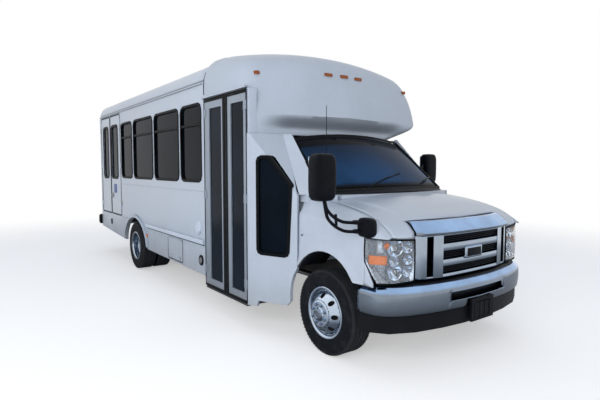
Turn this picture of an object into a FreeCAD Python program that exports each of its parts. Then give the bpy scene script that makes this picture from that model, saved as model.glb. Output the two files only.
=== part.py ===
import FreeCAD, Part
import math
import os

from FreeCAD import Vector as V

# Cutaway shuttle bus, in millimetres.
# Stations run along X from the front axle, forwards positive; +Y is the left side; the ground is z = 0.
# On export every piece moves forwards so that the origin lies under the middle of the whole bus.

# Chassis sizes
wheelbase = 4470.0
front_overhang = 870.0
rear_overhang = 2210.0
tyre_radius = 365.0
tyre_width = 223.0
rim_radius = 205.0
front_track = 1760.0
dual_spacing = 248.0
kingpin_y = 735.0
rail_y = 430.0
rail_width = 80.0
rail_bottom = 500.0
spring_drop = 21.0
leaf_spring = 16.0

# Body sizes
half_width = 1219.0
dual_centre_y = half_width - 236.5
wall = 40.0
body_rear = -wheelbase - 2075.0
shell_front = -1850.0
left_wall_front = -1640.0
eave_z = 2565.0
skirt_z = 363.0
rear_skirt_z = 488.0
eave_radius = 215.0
crown_rise = 40.0
floor_top = 760.0
floor_thick = 60.0
cap_seam_z = 1938.0
fit_gap = 0.3
swing_gap = 8.0

# Windows
sill_z = 1432.0
window_top = 2350.0
sash_z = 2104.0
frame_width = 32.0
frame_proud = 8.0
window_radius = 90.0
corner_flats = 2
glass_thick = 6.0
rear_window_half = 760.0
rear_window_sill = 1480.0
rear_window_top = 2250.0

# Doors
door_rear = -1845.0
door_front = -905.0
door_split = -1345.0
door_sill = 261.0
door_top = 2364.0
leaf_thick = 32.0
leaf_glass_bottom = 366.0
leaf_glass_top = 2250.0
lift_rear = body_rear + 100.0
lift_split = body_rear + 724.0
lift_front = body_rear + 1348.0
lift_sill = 775.0
lift_top = 2530.0
hinge_radius = 7.2
hinge_out = 7.0 + 0.3
hinge_over = 1.5
bay_length = shell_front - lift_front
window_shares = [(0.982, 0.800), (0.7815, 0.510), (0.4938, 0.2217), (0.2071, 0.0206)]
right_windows = [(shell_front - a * bay_length, shell_front - b * bay_length) for a, b in window_shares]
left_windows = [(body_rear + 215.0, body_rear + 1115.0), (body_rear + 1169.0, right_windows[0][1])]
left_windows += right_windows[1:]
comp_rear = -3046.0
comp_front = -2520.0
comp_low = 395.0
comp_top = 690.0

# Cab sizes
cab_side = half_width - 219.0
fender_rear = -374.0
belt_z = 1360.0
cab_door_rear = -1490.0
cab_door_sill = 450.0
arch_radius = tyre_radius + 80.0
arch_centre_z = tyre_radius + 85.0
rear_arch_half = tyre_radius + 188.0
rear_arch_height = tyre_radius + 89.0
rear_arch_centre = 33.0 - wheelbase


def box(x0, x1, y0, y1, z0, z1):
    """Block between two corners."""
    low = V(min(x0, x1), min(y0, y1), min(z0, z1))
    return Part.makeBox(abs(x1 - x0), abs(y1 - y0), abs(z1 - z0), low)


def polygon(points):
    """Closed flat face through points."""
    return Part.Face(Part.makePolygon([V(*p) for p in points] + [V(*points[0])]))


def prism_y(points, y0, y1):
    """Outline given as (x, z), carried from y0 to y1."""
    return polygon([(x, y0, z) for x, z in points]).extrude(V(0, y1 - y0, 0))


def prism_x(points, x0, x1):
    """Outline given as (y, z), carried from x0 to x1."""
    return polygon([(x0, y, z) for y, z in points]).extrude(V(x1 - x0, 0, 0))


def prism_z(points, z0, z1):
    """Outline given as (x, y), carried from z0 to z1."""
    return polygon([(x, y, z0) for x, y in points]).extrude(V(0, 0, z1 - z0))


def sewn(faces):
    """Closed solid from flat faces, each a list of corners; faces with no area are left out."""
    flat = []
    for corners in faces:
        kept = [c for i, c in enumerate(corners) if (V(*c) - V(*corners[i - 1])).Length > 0.01]
        if len(kept) > 2:
            flat.append(polygon(kept))
    skin = Part.makeCompound(flat)
    skin.sewShape()
    solid = Part.Solid(skin.Shells[0])
    if solid.Volume < 0:
        solid.reverse()
    return solid


def skinned(sections, close=True):
    """Solid through closed outlines that have the same number of points, in flat triangles."""
    faces = []
    for a, b in zip(sections, sections[1:]):
        for i in range(len(a)):
            j = (i + 1) % len(a)
            faces.append([a[i], a[j], b[j]])
            faces.append([a[i], b[j], b[i]])
    if close:
        faces += [list(reversed(sections[0])), sections[-1]]
    return sewn(faces).removeSplitter()


def ring_points(centre, direction, radius, sides):
    """Corners of a regular outline of that radius, square to direction."""
    along = V(*direction).normalize()
    helper = V(0, 0, 1) if abs(along.z) < 0.9 else V(0, 1, 0)
    across = along.cross(helper).normalize()
    up = along.cross(across)
    points = []
    for i in range(sides):
        angle = 2 * math.pi * (i + 0.5) / sides
        points.append(V(*centre) + (across * math.cos(angle) + up * math.sin(angle)) * radius)
    return points


def cylinder(start, direction, radius, length, sides=12):
    """Round bar from start along direction, in flats."""
    points = ring_points(start, direction, radius, sides)
    return Part.Face(Part.makePolygon(points + [points[0]])).extrude(V(*direction).normalize() * length)


def bore(start, direction, radius, length, sides=12):
    """Cutter whose flats lie at radius, so that a round bar of that radius fits through."""
    return cylinder(start, direction, radius / math.cos(math.pi / sides), length, sides)


def pin(start, direction, radius, length):
    """Truly round bar, for what turns."""
    return Part.makeCylinder(radius, length, V(*start), V(*direction))


def barrel(start, direction, length):
    """Hinge knuckle in eight flats that turns within hinge_radius."""
    return cylinder(start, direction, hinge_radius, length, 8)


def rod(start, end, radius, sides=8):
    """Round bar between two points."""
    along = V(*end) - V(*start)
    return cylinder(start, along, radius, along.Length, sides)


def bent_tube(points, radius, sides=8):
    """Round bar along straight runs, mitred at the bends."""
    path = [V(*p) for p in points]
    runs = [(b - a).normalize() for a, b in zip(path, path[1:])]
    rings = [ring_points(path[0], runs[0], radius, sides)]
    for i in range(1, len(path)):
        along = runs[i - 1]
        normal = (along + runs[i]).normalize() if i < len(runs) else along
        ring = []
        for q in rings[-1]:
            shift = (path[i] - q).dot(normal) / along.dot(normal)
            ring.append(q + along * shift)
        rings.append(ring)
    faces = []
    for a, b in zip(rings, rings[1:]):
        for k in range(sides):
            j = (k + 1) % sides
            faces.append([a[k], a[j], b[j], b[k]])
    faces += [list(reversed(rings[0])), rings[-1]]
    return sewn([[(q.x, q.y, q.z) for q in face] for face in faces])


def turned(profile, centre, sides):
    """Ring or disc turned about a line along Y; profile gives (offset, radius), its flats at radius."""
    rings = []
    for i in range(sides):
        angle = 2 * math.pi * (i + 0.5) / sides
        reach = 1 / math.cos(math.pi / sides)
        rings.append([(centre[0] + q * reach * math.sin(angle), centre[1] + y,
                       centre[2] - q * reach * math.cos(angle)) for y, q in profile])
    faces = []
    for i in range(sides):
        a = rings[i]
        b = rings[(i + 1) % sides]
        for k in range(len(profile)):
            j = (k + 1) % len(profile)
            faces.append([a[k], a[j], b[j], b[k]])
    return sewn(faces)


def fuse(shapes):
    """All shapes joined, with merged faces."""
    return shapes[0].multiFuse(shapes[1:]).removeSplitter() if len(shapes) > 1 else shapes[0]


def largest(shape):
    """The biggest solid, without the slivers that a cut leaves behind."""
    return max(shape.Solids, key=lambda solid: solid.Volume)


def group(shapes):
    """Solids that stay apart in one node."""
    return Part.makeCompound(shapes)


def mirror_y(shape):
    """The same piece on the other side of the bus."""
    return shape.mirror(V(0, 0, 0), V(0, 1, 0))


def both_sides(shape):
    return group([shape, mirror_y(shape)])


def rounded_outline(a0, a1, b0, b1, radius):
    """Corners of a rectangle whose four corners are rounded in three flats each."""
    points = []
    for ca, cb, start in ((a1 - radius, b1 - radius, 0), (a0 + radius, b1 - radius, 90),
                          (a0 + radius, b0 + radius, 180), (a1 - radius, b0 + radius, 270)):
        for i in range(corner_flats + 1):
            angle = math.radians(start + 90 * i / corner_flats)
            points.append((ca + radius * math.cos(angle), cb + radius * math.sin(angle)))
    return points


def rounded_slab(x0, x1, z0, z1, radius, y0, y1):
    """Slab standing along the bus with four rounded corners."""
    return prism_y(rounded_outline(x0, x1, z0, z1, radius), y0, y1)


def rounded_slab_x(y0, y1, z0, z1, radius, x0, x1):
    """Slab standing across the bus with four rounded corners."""
    return prism_x(rounded_outline(y0, y1, z0, z1, radius), x0, x1)


def export(name, shape):
    """Write one node, moved so that the origin lies under the middle of the bus."""
    middle = (wheelbase + rear_overhang - front_overhang) / 2
    placed = shape.copy()
    placed.translate(V(middle, 0, 0))
    os.makedirs("parts", exist_ok=True)
    placed.exportStep("parts/" + name + ".step")


# Windows in flat walls
def window_ring(x0, x1, z0, z1, y_out, sash=True):
    """Black frame that lines a hole in a side wall and stands a little proud of it."""
    y_in = y_out - wall
    ring = rounded_slab(x0 + fit_gap, x1 - fit_gap, z0 + fit_gap, z1 - fit_gap, window_radius,
                        y_in, y_out + frame_proud)
    inner = window_radius - frame_width
    hole = rounded_slab(x0 + frame_width, x1 - frame_width, z0 + frame_width, z1 - frame_width,
                        inner, y_in - wall, y_out + wall)
    ring = ring.cut(hole)
    if sash:
        bar = box(x0 + frame_width / 2, x1 - frame_width / 2, y_in, y_out + frame_proud / 2,
                  sash_z - frame_width / 2, sash_z + frame_width / 2)
        ring = ring.fuse(bar).removeSplitter()
    return ring


def window_pane(x0, x1, z0, z1, y_out, sash=True):
    """Panes held in the middle of the frame, one each side of the sash bar."""
    edge = frame_width + fit_gap
    y_mid = y_out - wall / 2
    pane = rounded_slab(x0 + edge, x1 - edge, z0 + edge, z1 - edge, window_radius - edge,
                        y_mid - glass_thick / 2, y_mid + glass_thick / 2)
    if not sash:
        return [pane]
    half_bar = frame_width / 2 + fit_gap
    bar = box(x0, x1, y_out - wall, y_out + wall, sash_z - half_bar, sash_z + half_bar)
    return pane.cut(bar).Solids


def window_hole(x0, x1, z0, z1, y_out):
    return rounded_slab(x0, x1, z0, z1, window_radius, y_out - 3 * wall, y_out + 2 * wall)


def rear_arch_cut(y0, y1, extra=0.0):
    """Half-oval wheel opening over the rear wheels."""
    half = rear_arch_half + extra
    high = rear_arch_height + extra
    count = 16
    points = []
    for i in range(count + 1):
        angle = math.pi * i / count
        points.append((rear_arch_centre + half * math.cos(angle), tyre_radius + high * math.sin(angle)))
    points += [(rear_arch_centre - half, 0.0), (rear_arch_centre + half, 0.0)]
    return prism_y(points, y0, y1)


def front_arch_cut(y0, y1):
    """Round wheel opening over a front wheel, straight below its centre."""
    count = 16
    points = []
    for i in range(count + 1):
        angle = math.pi * i / count
        points.append((arch_radius * math.cos(angle), arch_centre_z + arch_radius * math.sin(angle)))
    points += [(-arch_radius, 0.0), (arch_radius, 0.0)]
    return prism_y(points, y0, y1)


# Coach body
def side_wall_left():
    outline = [(body_rear, eave_z), (shell_front, eave_z), (shell_front, cap_seam_z),
               (left_wall_front, cap_seam_z), (left_wall_front, skirt_z),
               (rear_arch_centre - rear_arch_half, skirt_z + wall), (body_rear, rear_skirt_z)]
    shape = prism_y(outline, half_width - wall, half_width)
    shape = shape.cut(rear_arch_cut(half_width - 2 * wall, half_width + wall))
    for x0, x1 in left_windows:
        shape = shape.cut(window_hole(x0, x1, sill_z, window_top, half_width))
    return shape


def side_wall_right():
    outline = [(body_rear, eave_z), (shell_front, eave_z), (shell_front, skirt_z),
               (rear_arch_centre - rear_arch_half, skirt_z + wall), (body_rear, rear_skirt_z)]
    shape = prism_y(outline, half_width - wall, half_width)
    shape = shape.cut(rear_arch_cut(half_width - 2 * wall, half_width + wall))
    for x0, x1 in right_windows:
        shape = shape.cut(window_hole(x0, x1, sill_z, window_top, half_width))
    shape = shape.cut(box(lift_rear, lift_front, 0, half_width + wall, lift_sill, lift_top))
    shape = shape.cut(box(comp_rear, comp_front, 0, half_width + wall, comp_low, comp_top))
    return mirror_y(shape)


def rear_wall():
    inner = half_width - wall
    outline = [(-inner, rear_skirt_z), (inner, rear_skirt_z), (inner, eave_z), (-inner, eave_z)]
    shape = prism_x(outline, body_rear, body_rear + wall)
    hole = rounded_slab_x(-rear_window_half, rear_window_half, rear_window_sill, rear_window_top,
                          window_radius, body_rear - wall, body_rear + 2 * wall)
    for y in (-rail_y, rail_y):
        shape = shape.cut(box(body_rear - wall, body_rear + 2 * wall, y - 36, y + 36, 559, 681))
    return shape.cut(hole)


def roof_outline(inset, base_z):
    """Rounded eaves and a low crown, as (y, z) corners across the bus."""
    w = half_width - inset
    r = eave_radius - inset
    top = eave_z + r
    side = []
    for i in range(7):
        angle = math.pi / 2 * i / 6
        side.append((w - r + r * math.cos(angle), eave_z + r * math.sin(angle)))
    flat = w - r
    for i in range(1, 5):
        y = flat * (1 - i / 4)
        side.append((y, top + crown_rise * (1 - (y / flat) ** 2)))
    outline = side + [(-y, z) for y, z in reversed(side[:-1])]
    if base_z < eave_z:
        outline += [(-w, base_z), (w, base_z)]
    return outline


def roof_panel():
    """Roof shell with its own rear end, standing on the walls."""
    outer = prism_x(roof_outline(0, eave_z), body_rear, shell_front)
    inner = prism_x(roof_outline(wall, eave_z - wall), body_rear + wall, shell_front + wall)
    return outer.cut(inner)


# Front cap over the cab
cap_seam_x = -878.0
cap_waist = -1150.0
cap_ridge = [(-1850.0, 2826.0), (-1790.0, 2890.0), (-1640.0, 2926.0), (-1400.0, 2900.0), (-1150.0, 2840.0),
             (-960.0, 2760.0), (-700.0, 2640.0)]
cap_face = [(1938.0, 0.0), (2040.0, -6.0), (2138.0, -63.0), (2175.0, -88.0), (2260.0, -70.0),
            (2450.0, -28.0), (2640.0, 10.0), (3000.0, 90.0)]
cap_bow = [(0.0, 0.0), (579.0, 28.0), (889.0, 75.0), (1109.0, 118.0), (1300.0, 160.0)]
cap_round = 150.0


def between_rows(rows, value):
    """Straight interpolation in rows of (place, size)."""
    if value <= rows[0][0]:
        return rows[0][1]
    for a, b in zip(rows, rows[1:]):
        if value <= b[0]:
            return a[1] + (b[1] - a[1]) * (value - a[0]) / (b[0] - a[0])
    return rows[-1][1]


def soft_max(a, b, width):
    """The larger of two numbers, blended where they lie within width of each other."""
    share = max(width - abs(a - b), 0.0) / width
    return max(a, b) + share * share * width / 4


def cap_front(y, z):
    """Station of the cap's face: bowed across, drawn back under the brow, less so at the corners."""
    step = between_rows(cap_face, z)
    fade = 1.0
    if z < 2175.0:
        out = min(max((abs(y) - 550.0) / 530.0, 0.0), 1.0)
        fade = 1.0 - out * out * (3 - 2 * out)
        step = -88.0 + (step + 88.0) * fade
    return cap_seam_x - step - between_rows(cap_bow, abs(y))


def cap_distance(x, y, z, inset):
    """Negative inside the cap, positive outside."""
    drop = between_rows([(-1850.0, 45.0), (-1640.0, 110.0)], x)
    top = z - between_rows(cap_ridge, x) + drop * (y / 1000.0) ** 2 + inset
    side = abs(y) - half_width + inset
    front = x - cap_front(y, z) + inset
    return soft_max(soft_max(top, side, 1.6 * cap_round), front, cap_round)


def cap_point(origin, direction, inset):
    """Where a ray from inside meets the cap's skin, by halving."""
    low = 0.0
    high = 3000.0
    for _ in range(40):
        middle = (low + high) / 2
        p = origin + direction * middle
        if cap_distance(p.x, p.y, p.z, inset) < 0:
            low = middle
        else:
            high = middle
    return origin + direction * low


def cap_grid(inset):
    """Rows of skin points from the seam up to the ridge, in columns from the right round to the left."""
    half = [(x, -half_width) for x in (shell_front, -1720.0, -1560.0, -1300.0)]
    for share in (1.0, 0.952, 0.861, 0.722, 0.492, 0.246, 0.0):
        y = share * half_width
        half.append((cap_seam_x - between_rows(cap_bow, y) - (60.0 if share == 1.0 else 0.0), -y))
    columns = half + [(x, -y) for x, y in reversed(half[:-1])]
    grid = []
    for x, y in columns:
        base_x = min(x, cap_waist)
        origin = V(base_x, 0, cap_seam_z)
        flat = V(x - base_x, y, 0)
        reach = flat.Length
        flat.normalize()
        tilts = [math.atan2(z - cap_seam_z, reach) for z in (1938.0, 2040.0, 2138.0, 2178.0, 2290.0, 2500.0)]
        last = tilts[-1]
        tilts += [last + (math.pi / 2 - last) * share for share in (0.14, 0.32, 0.62, 1.0)]
        column = []
        for tilt in tilts:
            direction = flat * math.cos(tilt) + V(0, 0, 1) * math.sin(tilt)
            p = cap_point(origin, direction, inset)
            column.append((p.x, 0.0 if tilt == tilts[-1] else p.y, p.z))
        grid.append(column)
    return grid


def front_cap():
    """Hollow moulded brow over the cab, open to the coach behind and to the cab below."""
    outer = cap_grid(0)
    inner = cap_grid(wall)
    faces = []
    for a, b, c, d in zip(outer, outer[1:], inner, inner[1:]):
        for k in range(len(a) - 1):
            faces += [[a[k], b[k], b[k + 1]], [a[k], b[k + 1], a[k + 1]]]
            faces += [[c[k], d[k + 1], d[k]], [c[k], c[k + 1], d[k + 1]]]
        faces += [[a[0], c[0], d[0]], [a[0], d[0], b[0]]]
    for a, c in ((outer[0], inner[0]), (outer[-1], inner[-1])):
        for k in range(len(a) - 1):
            faces += [[a[k], a[k + 1], c[k + 1]], [a[k], c[k + 1], c[k]]]
    shape = sewn(faces)
    rim = [(column[0][0], column[0][1]) for column in outer]
    flange = prism_z(rim, cap_seam_z, cap_seam_z + wall)
    shape = shape.fuse(flange)
    low = cap_seam_z - wall
    high = cap_seam_z + 2 * wall
    shape = shape.cut(box(shell_front - wall, door_front - wall / 2, -half_width + wall, cab_side - 180,
                          low, high))
    shape = shape.cut(box(shell_front - wall, door_front, -half_width - wall, -half_width + 2 * wall,
                          low, door_top))
    return shape.removeSplitter()


# Moulded panel between the entry door and the cab
panel_thick = 30.0
panel_rear = V(door_front, -half_width, 0)
panel_front = V(fender_rear, -cab_side, 0)
facet_top_rear = -876.0


def panel_frame(points, depth_in, depth_out):
    """Outline of (station, z) points on the panel's upright plane, given a thickness."""
    along = panel_front - panel_rear
    normal = V(along.y, -along.x, 0).normalize()
    base = []
    for x, z in points:
        share = (x - panel_rear.x) / along.x
        base.append(panel_rear + along * share + V(0, 0, z) - normal * depth_in)
    face = Part.Face(Part.makePolygon(base + [base[0]]))
    return face.extrude(normal * (depth_in + depth_out))


def pentagon_points(grow):
    """Five-cornered window, its front top corner cut to the slope of the windscreen pillar."""
    return [(-800 - grow, 770 - grow), (-452 + grow, 770 - grow), (-420 + grow, 1436 + grow * 0.4),
            (-655 + grow * 0.4, 1722 + grow), (-800 - grow, 1722 + grow)]


def pentagon_solid(grow, depth_in, depth_out, radius):
    """Five-cornered slab on the panel, each corner rounded in flats."""
    corners = pentagon_points(grow)
    stretch = (panel_front - panel_rear).Length / (panel_front.x - panel_rear.x)
    points = []
    for i, corner in enumerate(corners):
        here = V(corner[0] * stretch, corner[1], 0)
        back = V(corners[i - 1][0] * stretch, corners[i - 1][1], 0) - here
        ahead = V(corners[(i + 1) % 5][0] * stretch, corners[(i + 1) % 5][1], 0) - here
        half = back.getAngle(ahead) / 2
        start = here + back.normalize() * (radius / math.tan(half))
        middle = here + (back.normalize() + ahead.normalize()).normalize() * (radius / math.sin(half))
        arm = start - middle
        turn = math.pi - 2 * half
        sign = 1 if back.cross(ahead).z > 0 else -1
        for k in range(corner_flats + 1):
            angle = -sign * turn * k / corner_flats
            x = middle.x + arm.x * math.cos(angle) - arm.y * math.sin(angle)
            z = middle.y + arm.x * math.sin(angle) + arm.y * math.cos(angle)
            points.append((x / stretch, z))
    return panel_frame(points, depth_in, depth_out)


def cab_panel_right():
    """White panel with the pentagon window, and the facet that turns in to the windscreen pillar."""
    flat = panel_frame([(door_front, door_sill), (-800, door_sill), (-780, 320), (-480, 320),
                        (fender_rear, 440), (fender_rear, belt_z), (facet_top_rear, cap_seam_z),
                        (door_front, cap_seam_z)], panel_thick, 0)
    along = panel_front - panel_rear
    share = (facet_top_rear - panel_rear.x) / along.x
    top_rear = panel_rear + along * share + V(0, 0, cap_seam_z)
    low = V(panel_front.x, panel_front.y, belt_z)
    top_front = V(-838, 210 - cab_side, cap_seam_z)
    tri = Part.Face(Part.makePolygon([low, top_rear, top_front, low]))
    normal = (top_rear - low).cross(top_front - low).normalize()
    if normal.y > 0:
        normal = normal * -1
    facet = tri.extrude(normal * -panel_thick)
    shape = flat.fuse(facet).removeSplitter()
    shape = shape.cut(pentagon_solid(0, 4 * panel_thick, 4 * panel_thick, 55))
    shape = shape.cut(box(door_front - 200, door_front, -2 * half_width, 0, 0, eave_z))
    return shape.cut(front_arch_cut(-half_width, -500))


door_lean = 150.0
door_lean_reach = 20.0


def cab_panel_left():
    """White panel that closes the step between the driver's door and the wider coach body."""
    rear = left_wall_front
    front = cab_door_rear - swing_gap
    sections = []
    for z, back in ((skirt_z + wall, 0), (belt_z, 0), (cap_seam_z, door_lean_reach)):
        sections.append([(rear, half_width, z), (front - back, cab_side, z), (front - back, cab_side - wall, z),
                         (rear - wall, half_width - wall, z)])
    shape = skinned(sections)
    return shape.cut(box(rear - 2 * wall, rear, half_width - wall, half_width, 0, eave_z))


# Cab
fender_thick = 22.0
hood_hinge_x = -150.0
hood_hinge_z = 1340.0
hood_hinge_y = cab_side - 245.0
hood_half = cab_side - 162.0
hood_rows = [(-135, hood_half, 1322, 1374), (120, hood_half + 7, 1287, 1345),
             (340, hood_half + 12, 1243, 1296), (500, hood_half + 24, 1190, 1243),
             (600, hood_half + 34, 1130, 1205), (668, hood_half + 42, 1085, 1150)]


def hood_edge(x):
    """Half width and height of the line between hood and fender at a station."""
    rows = hood_rows
    if x <= rows[0][0]:
        slope = (rows[1][2] - rows[0][2]) / (rows[1][0] - rows[0][0])
        return rows[0][1], rows[0][2] + slope * (x - rows[0][0])
    for a, b in zip(rows, rows[1:]):
        if x <= b[0]:
            share = (x - a[0]) / (b[0] - a[0])
            return a[1] + share * (b[1] - a[1]), a[2] + share * (b[2] - a[2])
    return rows[-1][1], rows[-1][2]


def rear_edge_form(shift):
    """Everything behind the bowed line between hood and cowl, moved forwards by shift."""
    half = [(8, 0), (2, 0.24), (-12, 0.49), (-40, 0.78), (-78, 0.92), (-135, 1.0)]
    side = hood_half + 12
    half = [(x + shift, share * side) for x, share in half]
    points = [(x, -y) for x, y in reversed(half)] + half[1:]
    return prism_z(points + [(-900, side), (-900, -side)], 1000, 1600)


def hood():
    """Crowned lid with rounded sides, thin and hollow below, its rear edge bowed forwards."""
    thick = 22.0
    sections = []
    for x, half, edge, crown in hood_rows:
        half = half - swing_gap
        top = []
        steps = 8
        for i in range(steps + 1):
            t = -1 + 2 * i / steps
            top.append((x, half * t, edge + (crown - edge) * (1 - abs(t) ** 2.6)))
        low = [(x, y * (1 - 0.03), z - thick) for x, y, z in reversed(top)]
        sections.append(top + low)
    shape = skinned(sections)
    shape = shape.cut(rear_edge_form(swing_gap)).cut(grille_room(swing_gap))
    parts = [shape]
    x0 = hood_hinge_x
    z0 = hood_hinge_z
    side = [(x0 - 7, z0), (x0, z0 + 7), (x0 + 7, z0 + 5), (-62, 1331), (-40, 1325), (-40, 1314), (-70, 1314),
            (x0, z0 - 9)]
    for y in (-hood_hinge_y, hood_hinge_y):
        parts.append(prism_y(side, y - 14, y + 14))
        parts.append(barrel((x0, y - 20 + fit_gap, z0), (0, 1, 0), 40 - 2 * fit_gap))
    return fuse(parts)


cab_hinges = (620.0, 1080.0)


def fender_left():
    """Side panel with a shoulder, the wheel opening and a room for the lamp."""
    sections = []
    for x in (fender_rear + fit_gap, -135, 120, 340, 500, 600, 660):
        half, top = hood_edge(x)
        drop = (x - fender_rear) * 0.05
        outer = [(half + 2, top), (half + 60, top - 22), (cab_side - 42, min(1232 - drop, top - 45)),
                 (cab_side - 12, min(1165 - drop * 1.4, top - 100)), (cab_side - 8, 900), (cab_side, 700),
                 (cab_side - 6, 446)]
        inner = [(y - fender_thick, z - 6) for y, z in reversed(outer)]
        inner[0] = (inner[0][0], 446)
        inner[-1] = (half - 2, top - 30)
        sections.append([(x, y, z) for y, z in outer + inner])
    shape = skinned(sections)
    for z in cab_hinges:
        pad = box(fender_rear + fit_gap, fender_rear + 34, cab_side - 30, cab_side, z - 10, z + 70)
        shape = shape.fuse(pad)
    shape = shape.removeSplitter()
    shape = shape.cut(front_arch_cut(500, 2 * half_width))
    shape = shape.cut(lamp_room(2 * fit_gap))
    shape = shape.cut(box(300, 900, 0, half_width, 0, 700))
    return max(shape.Solids, key=lambda solid: solid.Volume)


def lamp_outline():
    return [(488, 1072), (478, 886), (580, 722), (760, 722), (760, 1046)]


def lamp_room(gap):
    """Space in the fender for the headlamp."""
    points = [(488 - gap, 1072 + gap), (478 - gap, 886), (580 - gap, 722 - gap), (900, 722 - gap),
              (900, 1072 + gap)]
    return prism_y(points, grille_half - 32, half_width)


grille_half = cab_side - 368.0


def headlamp_left():
    """Lens block that wraps from the front round to the side."""
    block = prism_y(lamp_outline(), grille_half - 32, half_width)
    plan = prism_z([(460, cab_side - 8.5), (560, cab_side - 24), (640, cab_side - 100),
                    (672, cab_side - 220), (684, grille_half + 8), (600, grille_half + 8),
                    (560, cab_side - 200), (460, cab_side - 70)], 600, 1200)
    return block.common(plan)


def grille_room(gap):
    half = grille_half + 8 + gap
    return box(500, 1000, -half, half, 600, 1186 + gap)


def grille_plan(grow, depth):
    """Plan outline of the chrome face, bowed forwards in the middle."""
    front = [(655, -grille_half), (706, 47 - grille_half), (722, 112 - grille_half), (738, 192 - grille_half),
             (752, 252 - grille_half), (762, -0.316 * grille_half), (765, 0)]
    front += [(x, -y) for x, y in reversed(front[:-1])]
    back = [(x - depth, y) for x, y in reversed(front)]
    return [(x + grow, y) for x, y in front] + back


def grille():
    """Chrome surround with three wide slots, two upright slots and a deep top bar."""
    low = 730.0
    high = 1182.0
    body = prism_z(grille_plan(0, 70), low, high)
    centre = 385.0
    slots = [(1000.0, 1062.0), (872.0, 940.0), (758.0, 818.0)]
    for z0, z1 in slots:
        body = body.cut(box(600, 900, -centre, centre, z0, z1))
    for side in (-1, 1):
        body = body.cut(box(560, 900, side * 480, side * 545, 748, 1070))
    slope = prism_y([(600, high), (690, high), (800, 1090), (800, 1300), (600, 1300)], -700, 700)
    return body.cut(slope).removeSplitter()


def bumper_plan(front_shift, depth, half):
    """Bowed bar with ends that sweep back round the corners."""
    front = [(420, -half), (560, -half + 12), (668, -half + 95), (762, -0.7 * half), (818, -0.43 * half),
             (842, -0.2 * half),
             (850, 0)]
    front = [(x + front_shift, y) for x, y in front]
    front += [(x, -y) for x, y in reversed(front[:-1])]
    back = [(x - depth, y * 0.955) for x, y in reversed(front)]
    back[0] = (front[-1][0], back[0][1])
    back[-1] = (front[0][0], back[-1][1])
    return front + back


bumper_depth = 55.0


def front_bumper():
    """Chrome bar with a wide air slot and a bevelled upper edge."""
    bar = prism_z(bumper_plan(0, bumper_depth, cab_side), 478, 700)
    bar = bar.cut(box(700, 900, -378, 378, 548, 630))
    bevel = prism_z(bumper_plan(-34, 90, cab_side - 30), 660, 720)
    upper = prism_z(bumper_plan(0, 200, cab_side), 672, 720)
    bar = bar.cut(upper.cut(bevel))
    for y in (-plate_hole_y / 2, plate_hole_y / 2):
        bar = bar.cut(cylinder((830, y, plate_centre_z + plate_hole_z / 2), (1, 0, 0), 2 * plate_hole_radius, 40, 6))
    return bar


plate_hole_y = 178.0
plate_hole_z = 121.0
plate_hole_radius = 3.5
plate_centre_z = 444.0


def bumper_valance():
    """Black apron under the bar, with the blank number plate bracket."""
    apron = prism_z(bumper_plan(-14, 40, cab_side - 16), 345, 478 - fit_gap)
    bracket = box(850.4, 870, -155, 155, 352, 536)
    for y in (-plate_hole_y / 2, plate_hole_y / 2):
        for z in (-plate_hole_z / 2, plate_hole_z / 2):
            hole = Part.makeCylinder(plate_hole_radius, 30, V(850, y, plate_centre_z + z), V(1, 0, 0))
            bracket = bracket.cut(hole)
    neck = box(800, 852, -70, 70, 380, 470)
    return apron.fuse(neck).fuse(bracket).removeSplitter()


ws_low_half = cab_side - 175.0
ws_high_half = cab_side - 242.0
ws_low = [V(-222, -ws_low_half, 1392), V(-92, 0, 1406), V(-222, ws_low_half, 1392)]
glass_back = V(-glass_thick * 0.66, 0, -glass_thick * 0.75)
ws_high = [V(-792, -ws_high_half, 1888), V(-748, 0, 1946), V(-792, ws_high_half, 1888)]


def bowed_line(points, count):
    """Points along the arc through three points."""
    arc = Part.Arc(*points)
    first = arc.FirstParameter
    last = arc.LastParameter
    return [arc.value(first + (last - first) * i / count) for i in range(count + 1)]


def bowed_band(low, high, step, count=10):
    """Slab between two bowed lines, its thickness given by step."""
    sections = []
    for a, b in zip(bowed_line(low, count), bowed_line(high, count)):
        sections.append([(q.x, q.y, q.z) for q in (a, b, b + step, a + step)])
    return skinned(sections)


def windshield():
    """Bowed pane between cowl and header."""
    return bowed_band(ws_low, ws_high, glass_back)


def quad_bar(low, high):
    """Straight pillar between two four-cornered ends."""
    return skinned([low, high])


def header_strip():
    """Curved strip between the top of the pane and the foot of the brow."""
    front = [p + V(glass_back.x - fit_gap, 0, 0.3) for p in ws_high]
    back_x = cap_seam_x - 1 - fit_gap
    half = ws_high_half + 12
    back = [V(back_x - 118, -half, 1934), V(back_x, 0, cap_seam_z - fit_gap), V(back_x - 118, half, 1934)]
    return bowed_band(front, back, V(0, 0, -26))


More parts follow.
